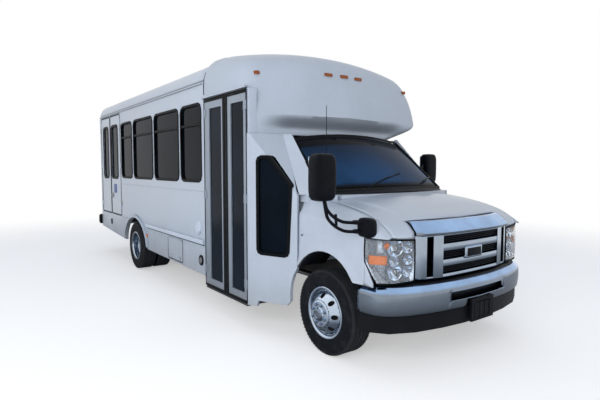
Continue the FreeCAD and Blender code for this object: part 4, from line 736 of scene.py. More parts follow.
def finish_table():
    """Each finish by name: its slot, its maker and the maker's values."""
    return {
        "white_paint": ("white_body", coat, dict(
            colour=hue("paint"), rough=0.34, shine=0.2, broad=0.9, fine=14.0,
            depth=0.00012, shade=0.92, dust=0.5, dust_height=0.95)),
        "white_moulding": ("white_body", coat, dict(
            colour=hue("paint", 0.94), rough=0.42, shine=0.1, broad=1.3, fine=40.0,
            depth=0.0002, shade=0.9, dust=0.3, dust_height=0.8)),
        # A lighter copy of the body paint: painted light on the rub rails' rounded tops and on the filler
        # cover.
        "rail_white": ("white_body", coat, dict(
            colour=hue("paint", 1.25), rough=0.34, shine=0.3, broad=2.0, fine=30.0,
            depth=0.00015, shade=0.92, dust=0.1, dust_height=0.8)),
        "anodised": ("bare_steel", coat, dict(
            colour=hue("door_metal"), rough=0.38, broad=3.0, fine=80.0, depth=0.0004,
            shade=0.85, dust=0.4, dust_height=0.7, metal=0.35)),
        "steel": ("bare_steel", coat, dict(
            colour=(0.32, 0.33, 0.34), rough=0.35, broad=6.0, fine=120.0, depth=0.0006,
            shade=0.7, dust=0.2, dust_height=0.6, metal=0.9)),
        "cast": ("black_trim", coat, dict(
            colour=(0.11, 0.11, 0.115), rough=0.6, broad=8.0, fine=160.0, depth=0.0016,
            shade=0.6, dust=0.5, dust_height=0.8, metal=0.6)),
        "chassis": ("black_trim", coat, dict(
            colour=hue("chassis"), rough=0.6, broad=5.0, fine=90.0, depth=0.0014,
            shade=0.7, dust=0.5, dust_height=0.9)),
        "lift_paint": ("black_trim", coat, dict(
            colour=(0.09, 0.095, 0.1), rough=0.45, broad=5.0, fine=90.0, depth=0.001,
            shade=0.7)),
        "sign_plate": ("black_trim", coat, dict(
            colour=hue("sign"), rough=0.4, shine=0.1, broad=6.0, fine=90.0, depth=0.0003,
            shade=0.8)),
        "black_rubber": ("black_trim", grained, dict(colour=hue("rubber", 0.6), rough=0.55, scale=500.0)),
        "black_moulded": ("black_trim", grained, dict(
            colour=hue("moulded", 0.6), rough=0.45, scale=420.0, dust=0.06)),
        "deck_rubber": ("black_trim", grained, dict(
            colour=hue("deck"), rough=0.7, scale=90.0, depth=0.001)),
        "lining": ("grey_plastic", grained, dict(colour=hue("lining"), rough=0.6, scale=260.0)),
        "dark_lining": ("black_trim", grained, dict(colour=hue("lining", 0.12), rough=0.6, scale=260.0)),
        "window_tint": ("lamp_lens", tinted, dict(colour=hue("glass"), clear=0.16)),
        "door_glass": ("lamp_lens", tinted, dict(colour=hue("glass", 3.0), clear=0.5, shine=0.1)),
        "clear_cover": ("lamp_lens", tinted, dict(
            colour=(0.95, 0.96, 0.97), clear=0.95, rough=0.0, streaks=0.02, shine=0.3)),
        "screen": ("screen_glass", screen_glass, dict()),
        # Polished colours are painted reflections; the grille, wheel and mirror finishes are brightened
        # copies of them, painted light.
        "chrome": ("chrome", polished, dict(
            ahead=hue("bright"), above=hue("painted_sky_on_chrome"), below=hue("painted_road_on_chrome"), dust=0.12)),
        "grille_chrome": ("chrome", polished, dict(
            ahead=hue("bright", 1.55), above=hue("painted_sky_on_chrome"), below=hue("painted_road_on_chrome", 1.6),
            dust=0.08)),
        "wheel_polish": ("bare_steel", polished, dict(
            ahead=hue("bright", 2.3), above=hue("bright", 2.6), below=hue("painted_road_on_chrome", 3.5),
            rough=0.10, dust=0.08)),
        "mirror_silver": ("chrome", polished, dict(
            ahead=hue("bright", 2.4), above=hue("bright", 2.6), below=hue("bright"), rough=0.03,
            painted_glow=0.06)),
        # Painted glow lights the dark inside of the headlamps.
        "lamp_room": ("black_trim", polished, dict(
            ahead=hue("bright", 0.9), above=hue("bright"), below=hue("painted_road_on_chrome", 1.5),
            rough=0.22, painted_glow=0.24)),
        "seat_cloth": ("seat_cloth", woven, dict(colour=hue("cloth"))),
        "marker_lens": ("amber_lens", marker_lens, dict()),
        "amber_lens": ("amber_lens", lens, dict(colour=hue("amber"), painted_glow=0.05)),
        "white_lens": ("lamp_lens", lens, dict(colour=(0.6, 0.62, 0.64), clear=0.3)),
        "front_tyre": ("tyre", tyre_rubber, dict(hub=AXLE)),
        "rear_tyre": ("tyre", tyre_rubber, dict(hub=AXLE + REAR_AXLE)),
    }


def finish(name):
    """The slot and the material of that finish, made when first asked for."""
    if name not in FINISHES:
        slot, maker, values = finish_table()[name]
        FINISHES[name] = (slot, maker(name, **values))
    return FINISHES[name]


# Shell of the coach

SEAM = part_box("front_cap")[0].z
SEAM_X = -0.878
WAIST = -1.150
HIGH_HALF = CAB_HALF - 0.242
DOOR_REAR = extent("entry_leaf_rear")[0]
DOOR_FRONT = extent("entry_leaf_front")[1]
DOOR_TOP = 2.364
ROOF_CORNER = 0.215
ROOF_END = 0.060
CAP_MIDDLE = (-1.2, 0)
BELLY = -0.098
BELLY_HEIGHT = 2.140


def cap_drop(x):
    """How far the cap's top falls at one metre off the middle."""
    return curve([-1.850, -1.640], [0.045, 0.110], x)


def cap_gap(x, y, z, inset):
    """Signed gap to the cap's skin: falling top, upright side, bowed face and underside, softly joined."""
    top = z - curve([-1.850, -1.790, -1.640, -1.400, -1.150, -0.960, -0.700],
                    [2.826, 2.890, 2.926, 2.900, 2.840, 2.760, 2.640], x) + cap_drop(x) * y ** 2 + inset
    side = np.abs(y) - HALF + inset
    step = np.interp(z, [1.938, 2.010, 2.100, BELLY_HEIGHT, 2.230, 2.450, 2.640, 3.000],
                     [0.0, -0.004, -0.078, BELLY, -0.076, -0.030, 0.010, 0.090])
    fade = np.where(z < BELLY_HEIGHT, 1 - blend(0.700, 1.150, np.abs(y)), 1.0)
    step = np.where(z < BELLY_HEIGHT, BELLY + (step - BELLY) * fade, step)
    bow = curve([0, 0.579, 0.889, 1.109, 1.300], [0, 0.028, 0.068, 0.098, 0.125], np.abs(y))
    face = x - SEAM_X + step + bow + inset
    under = 0.938 * (SEAM + 0.36 * (y - HIGH_HALF - 0.02) - z) - 0.6 * (1 - blend(-1.560, -1.300, x)) + inset

    def softer(a, b, width):
        near = np.maximum(width - np.abs(a - b), 0) / width
        return np.maximum(a, b) + near ** 2 * width / 4

    corner = np.interp(z, [2.250, 2.500], [0.060, 0.150])
    return softer(softer(softer(top, side, 0.24), face, corner), under, 0.06)


def cap_skin(inset=0.0):
    """Rays from a line inside the cap, each halved down to the skin; columns run from right to left."""
    plan_x = [CAP_REAR, -1.720, -1.560, -1.300, SEAM_X - 0.205, -0.990, -0.950, -0.925, -0.895, -0.881,
              SEAM_X]
    plan_y = [HALF, HALF, HALF, HALF, HALF, 1.160, 1.050, 0.880, 0.600, 0.300, 0.0]
    place = np.arange(len(plan_x))
    at = np.concatenate([np.linspace(0, 4, 25)[:-1], np.linspace(4, 7, 22)[:-1], np.linspace(7, 10, 19)])
    x = np.interp(at, place, plan_x)
    y = -np.interp(at, place, plan_y)
    x = np.concatenate([x, x[-2::-1]])
    y = np.concatenate([y, -y[-2::-1]])
    base = np.minimum(x, WAIST)
    reach = np.hypot(x - base, y)
    heights = np.concatenate([np.linspace(SEAM, 2.090, 8)[:-1], np.linspace(2.090, 2.200, 8)[:-1],
                              np.linspace(2.200, 2.5, 8)]) - SEAM
    tilt = np.arctan2(heights[None], reach[:, None])
    last = tilt[:, -1:]
    tilt = np.hstack([tilt, last + (math.pi / 2 - last) * np.linspace(0, 1, 22)[1:][None]])
    flat = points((x - base) / reach, y / reach, 0)[:, None]
    way = flat * np.cos(tilt)[..., None] + points(0, 0, 1) * np.sin(tilt)[..., None]
    start = points(base, 0, SEAM)[:, None]
    low = np.zeros_like(tilt)
    high = low + 3.0
    for _ in range(36):
        middle = (low + high) / 2
        p = start + way * middle[..., None]
        inside = cap_gap(p[..., 0], p[..., 1], p[..., 2], inset) < 0
        low = np.where(inside, middle, low)
        high = np.where(inside, high, middle)
    p = start + way * low[..., None]
    p[:, -1, 1] = 0
    return p


def roof_line(inset, count=9):
    """Half of the roof's outline: a quarter turn at the eave, then a low crown."""
    r = ROOF_CORNER - inset
    turn = np.linspace(0, math.pi / 2, count)
    flat = HALF - ROOF_CORNER
    y = flat * np.linspace(1, 0, 10)[1:]
    side = np.stack([flat + r * np.cos(turn), EAVE + r * np.sin(turn)], -1)
    top = np.stack([y, EAVE + r + 0.040 * (1 - (y / flat) ** 2)], -1)
    half = np.vstack([side, top])
    return np.vstack([half, half[-2::-1] * (-1, 1)])


class COACH_OT_shell(bpy.types.Operator):
    """Roof, front cap, walls and the rear end."""

    bl_idname = "coach.shell"
    bl_label = "Shell"

    def execute(self, context):
        """Roof as an outline run along the coach, cap as skin of a soft field, walls from the solids."""
        skin = context.scene.coach_sizes.skin
        turn = np.linspace(math.pi / 2, 0, 7)
        stations = np.concatenate([REAR + ROOF_END * (1 - np.sin(turn)),
                                   np.linspace(REAR, CAP_REAR, 34)[2:]])
        insets = np.concatenate([ROOF_END * (1 - np.cos(turn)), np.zeros(32)])
        lines = np.array([roof_line(inset) for inset in insets])
        p = np.concatenate([np.broadcast_to(stations[:, None, None], lines.shape[:2] + (1,)), lines], -1)
        foot = p[:1].copy()
        foot[..., 2] = EAVE
        roof = Skin().grid(np.concatenate([foot, p]), flip=True)
        make_piece("roof_skin", roof, "white_paint", ["roof_panel"], wall=skin, turned_out=False)
        cap = make_piece("cap_skin", Skin().grid(cap_skin(), flip=False), "white_moulding", ["front_cap"],
                         wall=skin, turned_out=False)
        outline = cap_skin()[:, 0]
        outline = outline[(outline[:, 1] > 0) | (outline[:, 0] > DOOR_FRONT + 0.004)]
        pull = np.clip(1 - 0.22 / np.linalg.norm(outline[:, :2] - CAP_MIDDLE, axis=1), 0.2, 1)[:, None]
        inner = outline.copy()
        inner[:, :2] = (outline[:, :2] - CAP_MIDDLE) * pull + CAP_MIDDLE
        outline = outline * (1, 0.995, 1)
        up = np.array([0, 0, 0.03])
        ring = np.stack([outline, inner, inner + up, outline + up], 1)
        shelf = Skin().grid(ring, round_v=True)
        for end, flip in ((ring[:1], False), (ring[-1:], True)):
            shelf.grid(np.stack([end[0, :2], end[0, :1:-1]]), flip)
        make_piece("cap_underside", shelf, "white_moulding")
        cut_away(cap, "white_moulding", (CAP_REAR - 0.05, -HALF - 0.05, SEAM - 0.1),
                 (DOOR_FRONT + 0.002, -HALF + 0.08, DOOR_TOP + 0.002))
        post = Skin().plate((DOOR_FRONT + 0.003, -HALF + 0.006, SEAM - 0.002),
                            (DOOR_FRONT + 0.020, -1.115, DOOR_TOP + 0.004), 0.004)
        make_piece("entry_post", post, "white_moulding")
        dress("white_paint", "side_wall_right", "side_wall_left", "rear_wall", "cab_panel_left",
              "compartment_door", radius=0.003)
        dress("white_moulding", "cab_panel_right", radius=0.006)
        dress("white_paint", "cab_shell", "driver_door", radius=0.006)
        return {"FINISHED"}


# Nose

EDGE_X = [-0.135, 0.120, 0.340, 0.500, 0.600, 0.668]
EDGE_HALF = [0.838, 0.845, 0.850, 0.862, 0.872, 0.880]
EDGE_Z = [1.322, 1.287, 1.243, 1.190, 1.130, 1.085]
CROWN_Z = [1.374, 1.345, 1.296, 1.243, 1.205, 1.150]
LAMP_REAR = 0.482
GRILLE_HALF = 0.640
ARCH_HEIGHT = TYRE + 0.085
FENDER_REAR = -0.374
FENDER_FOOT = 0.703
HOOD_FRONT = 0.556
NOSE_TIP = 0.666
LAMP_TOP = 1.0735
LAMP_FALL = 0.026
LAMP_SLANT = 1.608


def nose_edge(x):
    """Half width and height of the line between the hood and the fenders."""
    run = np.maximum(x, EDGE_X[0])
    behind = np.minimum(x - EDGE_X[0], 0)
    slope = (EDGE_Z[1] - EDGE_Z[0]) / (EDGE_X[1] - EDGE_X[0])
    return curve(EDGE_X, EDGE_HALF, run) + CAB_HALF - 1.0, curve(EDGE_X, EDGE_Z, run) + slope * behind


def hood_height(x, y):
    """Crowned hood: it falls to its edge with the power 2.6 of the way out, and steps at two creases."""
    half, edge = nose_edge(x)
    crown = curve(EDGE_X, CROWN_Z, np.maximum(x, EDGE_X[0])) - 0.12 * np.minimum(x - EDGE_X[0], 0)
    t = np.clip(np.abs(y) / half, 0, 1)
    crease = curve([-0.15, 0.2, 0.56], [0.735, 0.660, 0.600], x)
    step = 0.009 * blend(-0.016, 0.016, np.abs(y) - crease) * (1 - blend(0.52, 0.62, x))
    return edge + (crown - edge) * (1 - t ** 2.6) - step * (1 - t ** 8)


def fender_side(x, z):
    """Half width of the fender at a height: a shoulder below the hood, then a nearly upright side."""
    half, top = nose_edge(x)
    drop = (x - FENDER_REAR) * 0.05
    out = CAB_HALF
    even = 0 * x
    rows_z = np.array([top, top - 0.022, np.minimum(1.232 - drop, top - 0.045),
                       np.minimum(1.165 - 1.4 * drop, top - 0.1), 0.9 + even, 0.7 + even, 0.446 + even])
    rows_y = np.array([half + 0.002, half + 0.060, out - 0.042 + even, out - 0.012 + even,
                       out - 0.008 + even, out + even, out - 0.006 + even])
    y = np.array([curve(-rows_z[:, k], rows_y[:, k], -z[k]) for k in range(len(x))])
    reach = np.hypot(x[:, None], z - ARCH_HEIGHT) - ARCH_RADIUS
    crease = 1.190 - (x - FENDER_REAR) * 0.085
    y += 0.011 * np.exp(-(reach / 0.045) ** 2)
    return y + 0.004 * np.exp(-np.abs(z - crease[:, None]) / 0.012)


def fender_patch(x, low, high, rows):
    """Rows of the fender's side between two lines of height."""
    z = high[:, None] + (low - high)[:, None] * rows[None]
    return points(x[:, None], fender_side(x, z), z)


def fender_skin(arch):
    """Three patches: over the wheel, above the lamp and the wedge below it, with an inturned lip."""
    skin = Skin()
    x = np.concatenate([np.linspace(-0.372, 0.360, 44), np.linspace(0.372, LAMP_REAR, 8)])
    top = nose_edge(x)[1]
    opening = ARCH_HEIGHT + np.sqrt(np.maximum(arch ** 2 - x ** 2, 0))
    low = np.where(x < 0.366, np.maximum(opening, FENDER_FOOT), FENDER_FOOT)
    rows = np.concatenate([np.linspace(0, 0.25, 10)[:-1], np.linspace(0.25, 1, 22)])
    side = fender_patch(x, low, top, rows)
    lip = side[:, -1:] - (0, 0.055, 0)
    skin.both(np.concatenate([side, lip], 1))
    x = np.linspace(LAMP_REAR, 0.664, 14)
    top = nose_edge(x)[1]
    skin.both(fender_patch(x, np.minimum(1.0755 - 0 * x, top - 0.012), top, np.linspace(0, 1, 12)))
    x = np.linspace(LAMP_REAR, 0.575, 8)
    high = 0.880 - (x - LAMP_REAR) * LAMP_SLANT
    skin.both(fender_patch(x, FENDER_FOOT + 0 * x, np.maximum(high, 0.708), np.linspace(0, 1, 6)))
    return skin


def hood_skin():
    """The hood as height over (x, y): bowed rear edge, front edge along the grille, and two side tongues."""
    lid = 0.008
    share_y = np.concatenate([np.linspace(-1, -0.78, 7)[:-1], np.linspace(-0.78, 0.78, 45),
                              np.linspace(0.78, 1, 7)[1:]])
    notch = (GRILLE_HALF + 0.008) / 0.866
    share_y = np.sort(np.append(share_y, [-notch, notch]))
    rear = curve([0, 0.24, 0.49, 0.78, 0.92, 1.0], [0.008, 0.002, -0.012, -0.040, -0.078, -0.135],
                 np.abs(share_y)) + lid
    front = curve([0, 0.3, 0.6, notch], [0.628, 0.618, 0.588, HOOD_FRONT], np.abs(share_y))
    run = np.concatenate([np.linspace(0, 0.06, 4)[:-1], np.linspace(0.06, 1, 34)])
    x = rear[None] + (front - rear)[None] * run[:, None]
    y = share_y[None] * (nose_edge(x)[0] - 0.5 * lid)
    skin = Skin().grid(points(x, y, hood_height(x, y)))
    outer = np.abs(share_y) >= notch - 1e-9
    lamp = lamp_line(0.0)[0]
    for side in (share_y < 0, share_y > 0):
        s = share_y[outer & side]
        u = np.linspace(0, 1, 22)[:, None] ** 0.8
        y = s[None] * (nose_edge(HOOD_FRONT + (NOSE_TIP - HOOD_FRONT) * u)[0] - 0.5 * lid)
        end = np.interp(np.abs(y), lamp[::-1, 1], lamp[::-1, 0]) - 0.002
        x = HOOD_FRONT + (end - HOOD_FRONT) * np.sin(u * math.pi / 2) ** 0.9
        foot = LAMP_TOP - LAMP_FALL * blend(0.95, 0.65, np.abs(y)) + 0.006
        high = hood_height(np.minimum(x, NOSE_TIP), y)
        z = foot + (high - foot) * np.maximum(1 - u ** 4, 0) ** 0.5
        skin.grid(points(x, y, z))
    return skin


class COACH_OT_nose(bpy.types.Operator):
    """Hood and fenders."""

    bl_idname = "coach.nose"
    bl_label = "Nose"

    def execute(self, context):
        """Sheet metal as two height fields with a wall."""
        sizes = context.scene.coach_sizes
        make_piece("hood_skin", hood_skin(), "white_paint", ["hood"], body="hood_body", wall=sizes.sheet,
                   turned_out=False, angle=40)
        make_piece("fender_skins", fender_skin(sizes.arch), "white_paint", ["fenders"],
                   wall=sizes.sheet * 0.8, turned_out=False, angle=40)
        return {"FINISHED"}


# Lamps

def lamp_line(inset, count=30):
    """The lens's plan line from the side round to the grille, drawn inwards by the inset."""
    corners = np.array([(LAMP_REAR, 0.992), (0.560, 0.974), (0.635, 0.905), (0.672, 0.790), (0.683, 0.652)])
    line = smooth_line(corners, count)
    along = np.gradient(line, axis=0)
    out = unit(np.stack([-along[:, 1], along[:, 0]], -1))
    return line - out * inset + (0, CAB_HALF - 1.0), out


def lamp_sheet(inset, low_gap=0.0, rows=12):
    """The lens's face: its plan line raised between a slanting foot and a falling top."""
    line, out = lamp_line(inset)
    share = np.linspace(0, 1, len(line))
    foot = np.maximum(0.726, 0.882 - (line[:, 0] - LAMP_REAR) * LAMP_SLANT) + low_gap
    top = LAMP_TOP - LAMP_FALL * share - low_gap
    t = np.linspace(0, 1, rows)[:, None]
    bulge = 0.005 * np.sin(math.pi * t)
    z = foot[None] + (top - foot)[None] * t
    return points(line[None, :, 0] + out[None, :, 0] * bulge, line[None, :, 1] + out[None, :, 1] * bulge, z)


def dish(centre, way, radius, depth, steps=14, sides=28):
    """A reflector: a paraboloid of the radius and depth, open along way."""
    way = unit(np.asarray(way, float))
    across = unit(np.cross(way, (0, 0, 1.0)))
    rise = np.cross(across, way)
    r = np.linspace(0, 1, steps)[:, None, None]
    angle = around(sides)[None, :, None]
    ring = np.cos(angle) * across + np.sin(angle) * rise
    return np.asarray(centre) + ring * r * radius - way * depth * (1 - r ** 2)


class COACH_OT_lamps(bpy.types.Operator):
    """Headlamps with their reflectors, and every marker and tail lamp."""

    bl_idname = "coach.lamps"
    bl_label = "Lamps"

    def execute(self, context):
        """Clear covers over reflector bowls in dark rooms."""
        make_piece("headlamp_covers", Skin().both(lamp_sheet(0.002)), "clear_cover", ["headlamps"],
                   wall=0.003)
        room = Skin()
        face = lamp_sheet(0.004, 0.002, 3)
        back = lamp_sheet(0.088, 0.002, 3)
        back[..., 0] = np.minimum(back[..., 0], face[..., 0])
        loop_front = np.concatenate([face[0], face[:, -1], face[-1, ::-1], face[::-1, 0]])
        loop_back = np.concatenate([back[0], back[:, -1], back[-1, ::-1], back[::-1, 0]])
        room.both(np.stack([loop_front, loop_back]))
        room.both(back)
        make_piece("headlamp_rooms", room, "lamp_room", wall=0.002)
        bowls = Skin()
        bulbs = Skin()
        way = np.array([0.93, 0.36, 0.02])
        rounds = ((0.634, 0.812, 0.996, 0.066, 0.048), (0.630, 0.820, 0.892, 0.038, 0.030),
                  (0.634, 0.812, 0.806, 0.060, 0.046), (0.662, 0.704, 0.990, 0.040, 0.030),
                  (0.664, 0.702, 0.896, 0.036, 0.030), (0.662, 0.704, 0.806, 0.040, 0.030))
        for x, y, z, radius, depth in rounds:
            bowls.both(dish((x, y, z), way, radius, depth))
            bulbs.both(dish((x - 0.010, y, z), -way, radius * 0.28, radius * 0.5, 6, 12))
        make_piece("headlamp_bowls", bowls, "mirror_silver", wall=0.0015)
        make_piece("headlamp_bulbs", bulbs, "white_lens", wall=0.001)
        line = lamp_line(0.008)[0][2:13]
        z = np.array([0.872, 0.882, 0.930, 0.940])[:, None]
        marker = Skin().both(points(line[None, :, 0], line[None, :, 1], z))
        make_piece("headlamp_markers", marker, "amber_lens", wall=0.008)
        upper = Skin().both(dish((0.612, 0.880, 1.012), (0.8, 0.6, 0), 0.024, -0.022, 8, 16))
        make_piece("headlamp_turn_bulbs", upper, "amber_lens", wall=0.001)
        side = lamp_sheet(0.006)
        loop = np.concatenate([side[0], side[1:-1, -1], side[-1, ::-1], side[-2:0:-1, 0]])
        out = lamp_line(0.0)[1]
        rows = side.shape[0] - 2
        facing = np.concatenate([out, np.repeat(out[-1:], rows, 0), out[::-1], np.repeat(out[:1], rows, 0)])
        facing = np.hstack([facing, np.zeros((len(facing), 1))])
        strip = Skin().ribbon(loop, facing, 0.011, 0.007, closed=True).points[0].reshape(len(loop), -1, 3)
        rim = Skin().both(strip, round_u=True, round_v=True)
        make_piece("headlamp_gaskets", rim, "black_rubber")
        dress("marker_lens", "body_lamps", radius=0.003)
        return {"FINISHED"}


# Grille and bumper

def grille_face(y):
    """Station of the grille's chrome face, bowed forwards in the middle."""
    return curve([0, 0.200, 0.380, 0.440, 0.520, 0.585, 0.632],
                 [0.765, 0.762, 0.752, 0.738, 0.722, 0.706, 0.655], np.abs(y))


def grille_bar(skin, y0, y1, z0, z1, depth=0.060, proud=0.0, edge=0.006, count=17):
    """A bar across the face: a rounded slab section repeated along y, its ends closed on their middles."""
    y = np.linspace(y0, y1, count)
    face = grille_face(y)[:, None] + proud
    form = np.array([(-depth, 0), (-edge, 0), (-edge * 0.3, 0.3 * edge), (0, edge), (0, -edge),
                     (-edge * 0.3, -0.3 * edge), (-edge, 0), (-depth, 0)])
    high = np.array([z0] * 4 + [z1] * 4)
    p = points(face + form[:, 0], y[:, None], high + form[:, 1])
    ends = [p[k:k + 1].mean(1, keepdims=True).repeat(8, 1) for k in (0, -1)]
    skin.grid(np.concatenate([ends[0], p, ends[1]]), flip=True, round_v=True)


class COACH_OT_grille(bpy.types.Operator):
    """Chrome grille with its header, uprights, rows, dark fins and a plain middle plate."""

    bl_idname = "coach.grille"
    bl_label = "Grille"

    def execute(self, context):
        """Every bar follows one bowed face."""
        frame_bars = Skin()
        for z0, z1 in ((0.730, 0.758), (0.818, 0.872), (0.940, 1.000)):
            grille_bar(frame_bars, -0.386, 0.386, z0, z1, 0.055, -0.001)
        grille_bar(frame_bars, -0.628, 0.628, 0.730, 0.748, 0.062, 0.002, count=41)
        grille_bar(frame_bars, -0.630, 0.630, 1.060, 1.082, 0.062, 0.0, count=41)
        for side in (-1, 1):
            for y0, y1 in ((0.385, 0.480), (0.545, 0.631)):
                a, b = sorted((side * y0, side * y1))
                grille_bar(frame_bars, a, b, 0.732, 1.075, 0.064, 0.003, 0.009, 9)
        make_piece("grille_frame", frame_bars, "grille_chrome", ["grille"], angle=40)
        y = np.linspace(-0.629, 0.629, 61)
        face = grille_face(y)
        top_y = y * 0.965
        rows = [(face - 0.050, y, 1.076), (face + 0.012, y, 1.074), (face + 0.024, y, 1.080),
                (face + 0.026, y, 1.094), (face + 0.020, y, 1.104), (face - 0.020, y * 0.985, 1.142),
                (face - 0.056, top_y, 1.174), (face - 0.066, top_y, 1.181), (face - 0.080, top_y, 1.182),
                (face - 0.120, top_y, 1.181)]
        sheet = np.stack([points(*row) for row in rows])
        ends = [np.broadcast_to(sheet[:, [k]].mean(0, keepdims=True), (len(sheet), 1, 3)) for k in (0, -1)]
        header = Skin().grid(np.concatenate([ends[0], sheet, ends[1]], 1), round_u=True)
        make_piece("grille_header", header, "chrome", angle=28)
        dark = Skin()
        for z0, z1 in ((0.758, 0.818), (0.872, 0.940), (1.000, 1.060)):
            for k in range(1, 4):
                z = z0 + (z1 - z0) * k / 4
                grille_bar(dark, -0.385, 0.385, z - 0.004, z + 0.004, 0.040, -0.016, 0.002)
        back = np.linspace(-0.620, 0.620, 41)
        rows = [points(grille_face(back) - 0.058, back, z) for z in (0.738, 1.075)]
        make_piece("grille_fins", dark, "black_moulded")
        make_piece("grille_mesh", Skin().grid(np.stack(rows)), "black_moulded", wall=0.004)
        boss = Skin().plate((0.715, -0.118, 0.856), (0.778, 0.118, 0.956), 0.012)
        make_piece("grille_boss", boss, "grille_chrome")
        plate = Skin().plate((0.770, -0.096, 0.872), (0.780, 0.096, 0.940), 0.003)
        make_piece("grille_plate", plate, "black_moulded")
        return {"FINISHED"}


def bumper_line(count=34, middle=16):
    """The bumper's plan with a point right at the slot's end, the ways out of it and that point's place."""
    corners = [(0.850, 0.0), (0.842, 0.2 * CAB_HALF), (0.818, 0.43 * CAB_HALF), (0.762, 0.7 * CAB_HALF),
               (0.668, CAB_HALF - 0.095), (0.560, CAB_HALF - 0.014), (0.420, CAB_HALF - 0.002)]
    fine = smooth_line(corners, 400)
    turn = np.argmin(np.abs(fine[:, 1] - 0.378))
    pick = np.concatenate([np.linspace(0, turn, middle).astype(int),
                           np.linspace(turn, 399, count).astype(int)[1:]])
    line = fine[pick]
    along = np.gradient(fine, axis=0)[pick]
    out = unit(np.stack([along[:, 1], -along[:, 0]], -1))
    line = np.vstack([line[:0:-1] * (1, -1), line])
    out = np.vstack([out[:0:-1] * (1, -1), out])
    return line, out, len(pick) - middle


def bumper_rows(line, out, form):
    """Carries a section of (outwards, height) pairs along the plan."""
    form = np.asarray(form, float)
    flat = line[None] + out[None] * form[:, None, :1]
    return np.concatenate([flat, np.broadcast_to(form[:, None, 1:], flat.shape[:2] + (1,))], -1)


class COACH_OT_bumpers(bpy.types.Operator):
    """Chrome bumper, apron, plate bracket and the rear bar."""

    bl_idname = "coach.bumpers"
    bl_label = "Bumpers"

    def execute(self, context):
        """One section carried round the plan in three bands, the middle one broken by the air slot."""
        rise = context.scene.coach_sizes.bar_rise
        low = 0.480
        top = low + rise
        slot_low = 0.548
        slot_top = 0.630
        line, out, side = bumper_line()
        last = len(line) - side
        lower = [(-0.060, low + 0.004), (-0.014, low), (-0.004, low + 0.006), (0.0, low + 0.020),
                 (0.004, slot_low)]
        upper = [(0.004, slot_top), (0.002, top - 0.052), (-0.002, top - 0.042), (-0.010, top - 0.032),
                 (-0.034, top - 0.014), (-0.040, top - 0.006), (-0.050, top - 0.002), (-0.058, top - 0.002)]
        bar = Skin()
        bar.grid(bumper_rows(line, out, lower))
        bar.grid(bumper_rows(line, out, upper))
        middle = [lower[-1], (0.006, 0.572), (0.006, 0.604), upper[0]]
        for part in (slice(0, side + 1), slice(last - 1, None)):
            bar.grid(bumper_rows(line[part], out[part], middle))
        slot = slice(side, last)
        for z in (slot_low, slot_top):
            bar.grid(bumper_rows(line[slot], out[slot], [(0.004, z), (-0.050, z)]), flip=z == slot_top)
        make_piece("bumper_bar", bar, "chrome", ["front_bumper"], wall=0.005, angle=30)
        ends = Skin()
        for k in (side, last - 1):
            p = bumper_rows(line[k:k + 1], out[k:k + 1], middle)[:, 0]
            back = bumper_rows(line[k:k + 1], out[k:k + 1], [(-0.050, z) for _, z in middle])[:, 0]
            ends.grid(np.stack([p, back]))
        make_piece("bumper_slot_ends", ends, "chrome", wall=0.004)
        mesh = [(-0.046, slot_low - 0.002), (-0.046, slot_top + 0.002)]
        dark = Skin().grid(bumper_rows(line[slot], out[slot], mesh))
        make_piece("bumper_slot_mesh", dark, "black_moulded", wall=0.004)
        ledge = Skin().grid(bumper_rows(line, out, [(-0.050, top - 0.006), (-0.130, top + 0.012),
                                                    (-0.150, top + 0.012)]))
        make_piece("bumper_step", ledge, "black_moulded", wall=0.006)
        lip = Skin()
        for z in (slot_low + 0.004, slot_top - 0.002):
            path = np.hstack([line[slot] + out[slot] * 0.004, np.full((last - side, 1), z)])
            lip.tube(path, 0.005, 8)
        make_piece("bumper_slot_lips", lip, "chrome")
        dress("black_moulded", "bumper_valance", "rear_bumper", radius=0.008)
        ribs = Skin()
        for y in (-0.105, -0.035, 0.035, 0.105):
            ribs.plate((0.866, y - 0.012, 0.372), (0.8735, y + 0.012, 0.505), 0.003)
        for z in (0.362, 0.512):
            ribs.plate((0.866, -0.150, z), (0.8735, 0.150, z + 0.010), 0.003)
        make_piece("plate_bracket_ribs", ribs, "black_moulded")
        return {"FINISHED"}


# Glass

LOW_HALF = CAB_HALF - 0.175
SCREEN_OUT = (0.66, 0, 0.75)


def screen_point_rows(rows, grow_side=0.0, grow_top=0.0, grow_low=0.0, lift=0.0, count=33):
    """The pane between two parabolas, swelled forwards a little in its middle."""
    low = bowed((-0.092, 1.406), (-0.222, 1.392), LOW_HALF + grow_side, count)
    high = bowed((-0.748, 1.946), (-0.792, 1.888), HIGH_HALF + grow_side, count)
    along = unit(high - low)
    low = low - along * grow_low
    high = high + along * grow_top
    t = np.linspace(0, 1, rows)[:, None, None]
    s = np.linspace(-1, 1, count)[None, :, None]
    swell = (lift + 0.010 * np.sin(math.pi * t) * (1 - s ** 2)) * np.array(SCREEN_OUT)
    return low[None] * (1 - t) + high[None] * t + swell


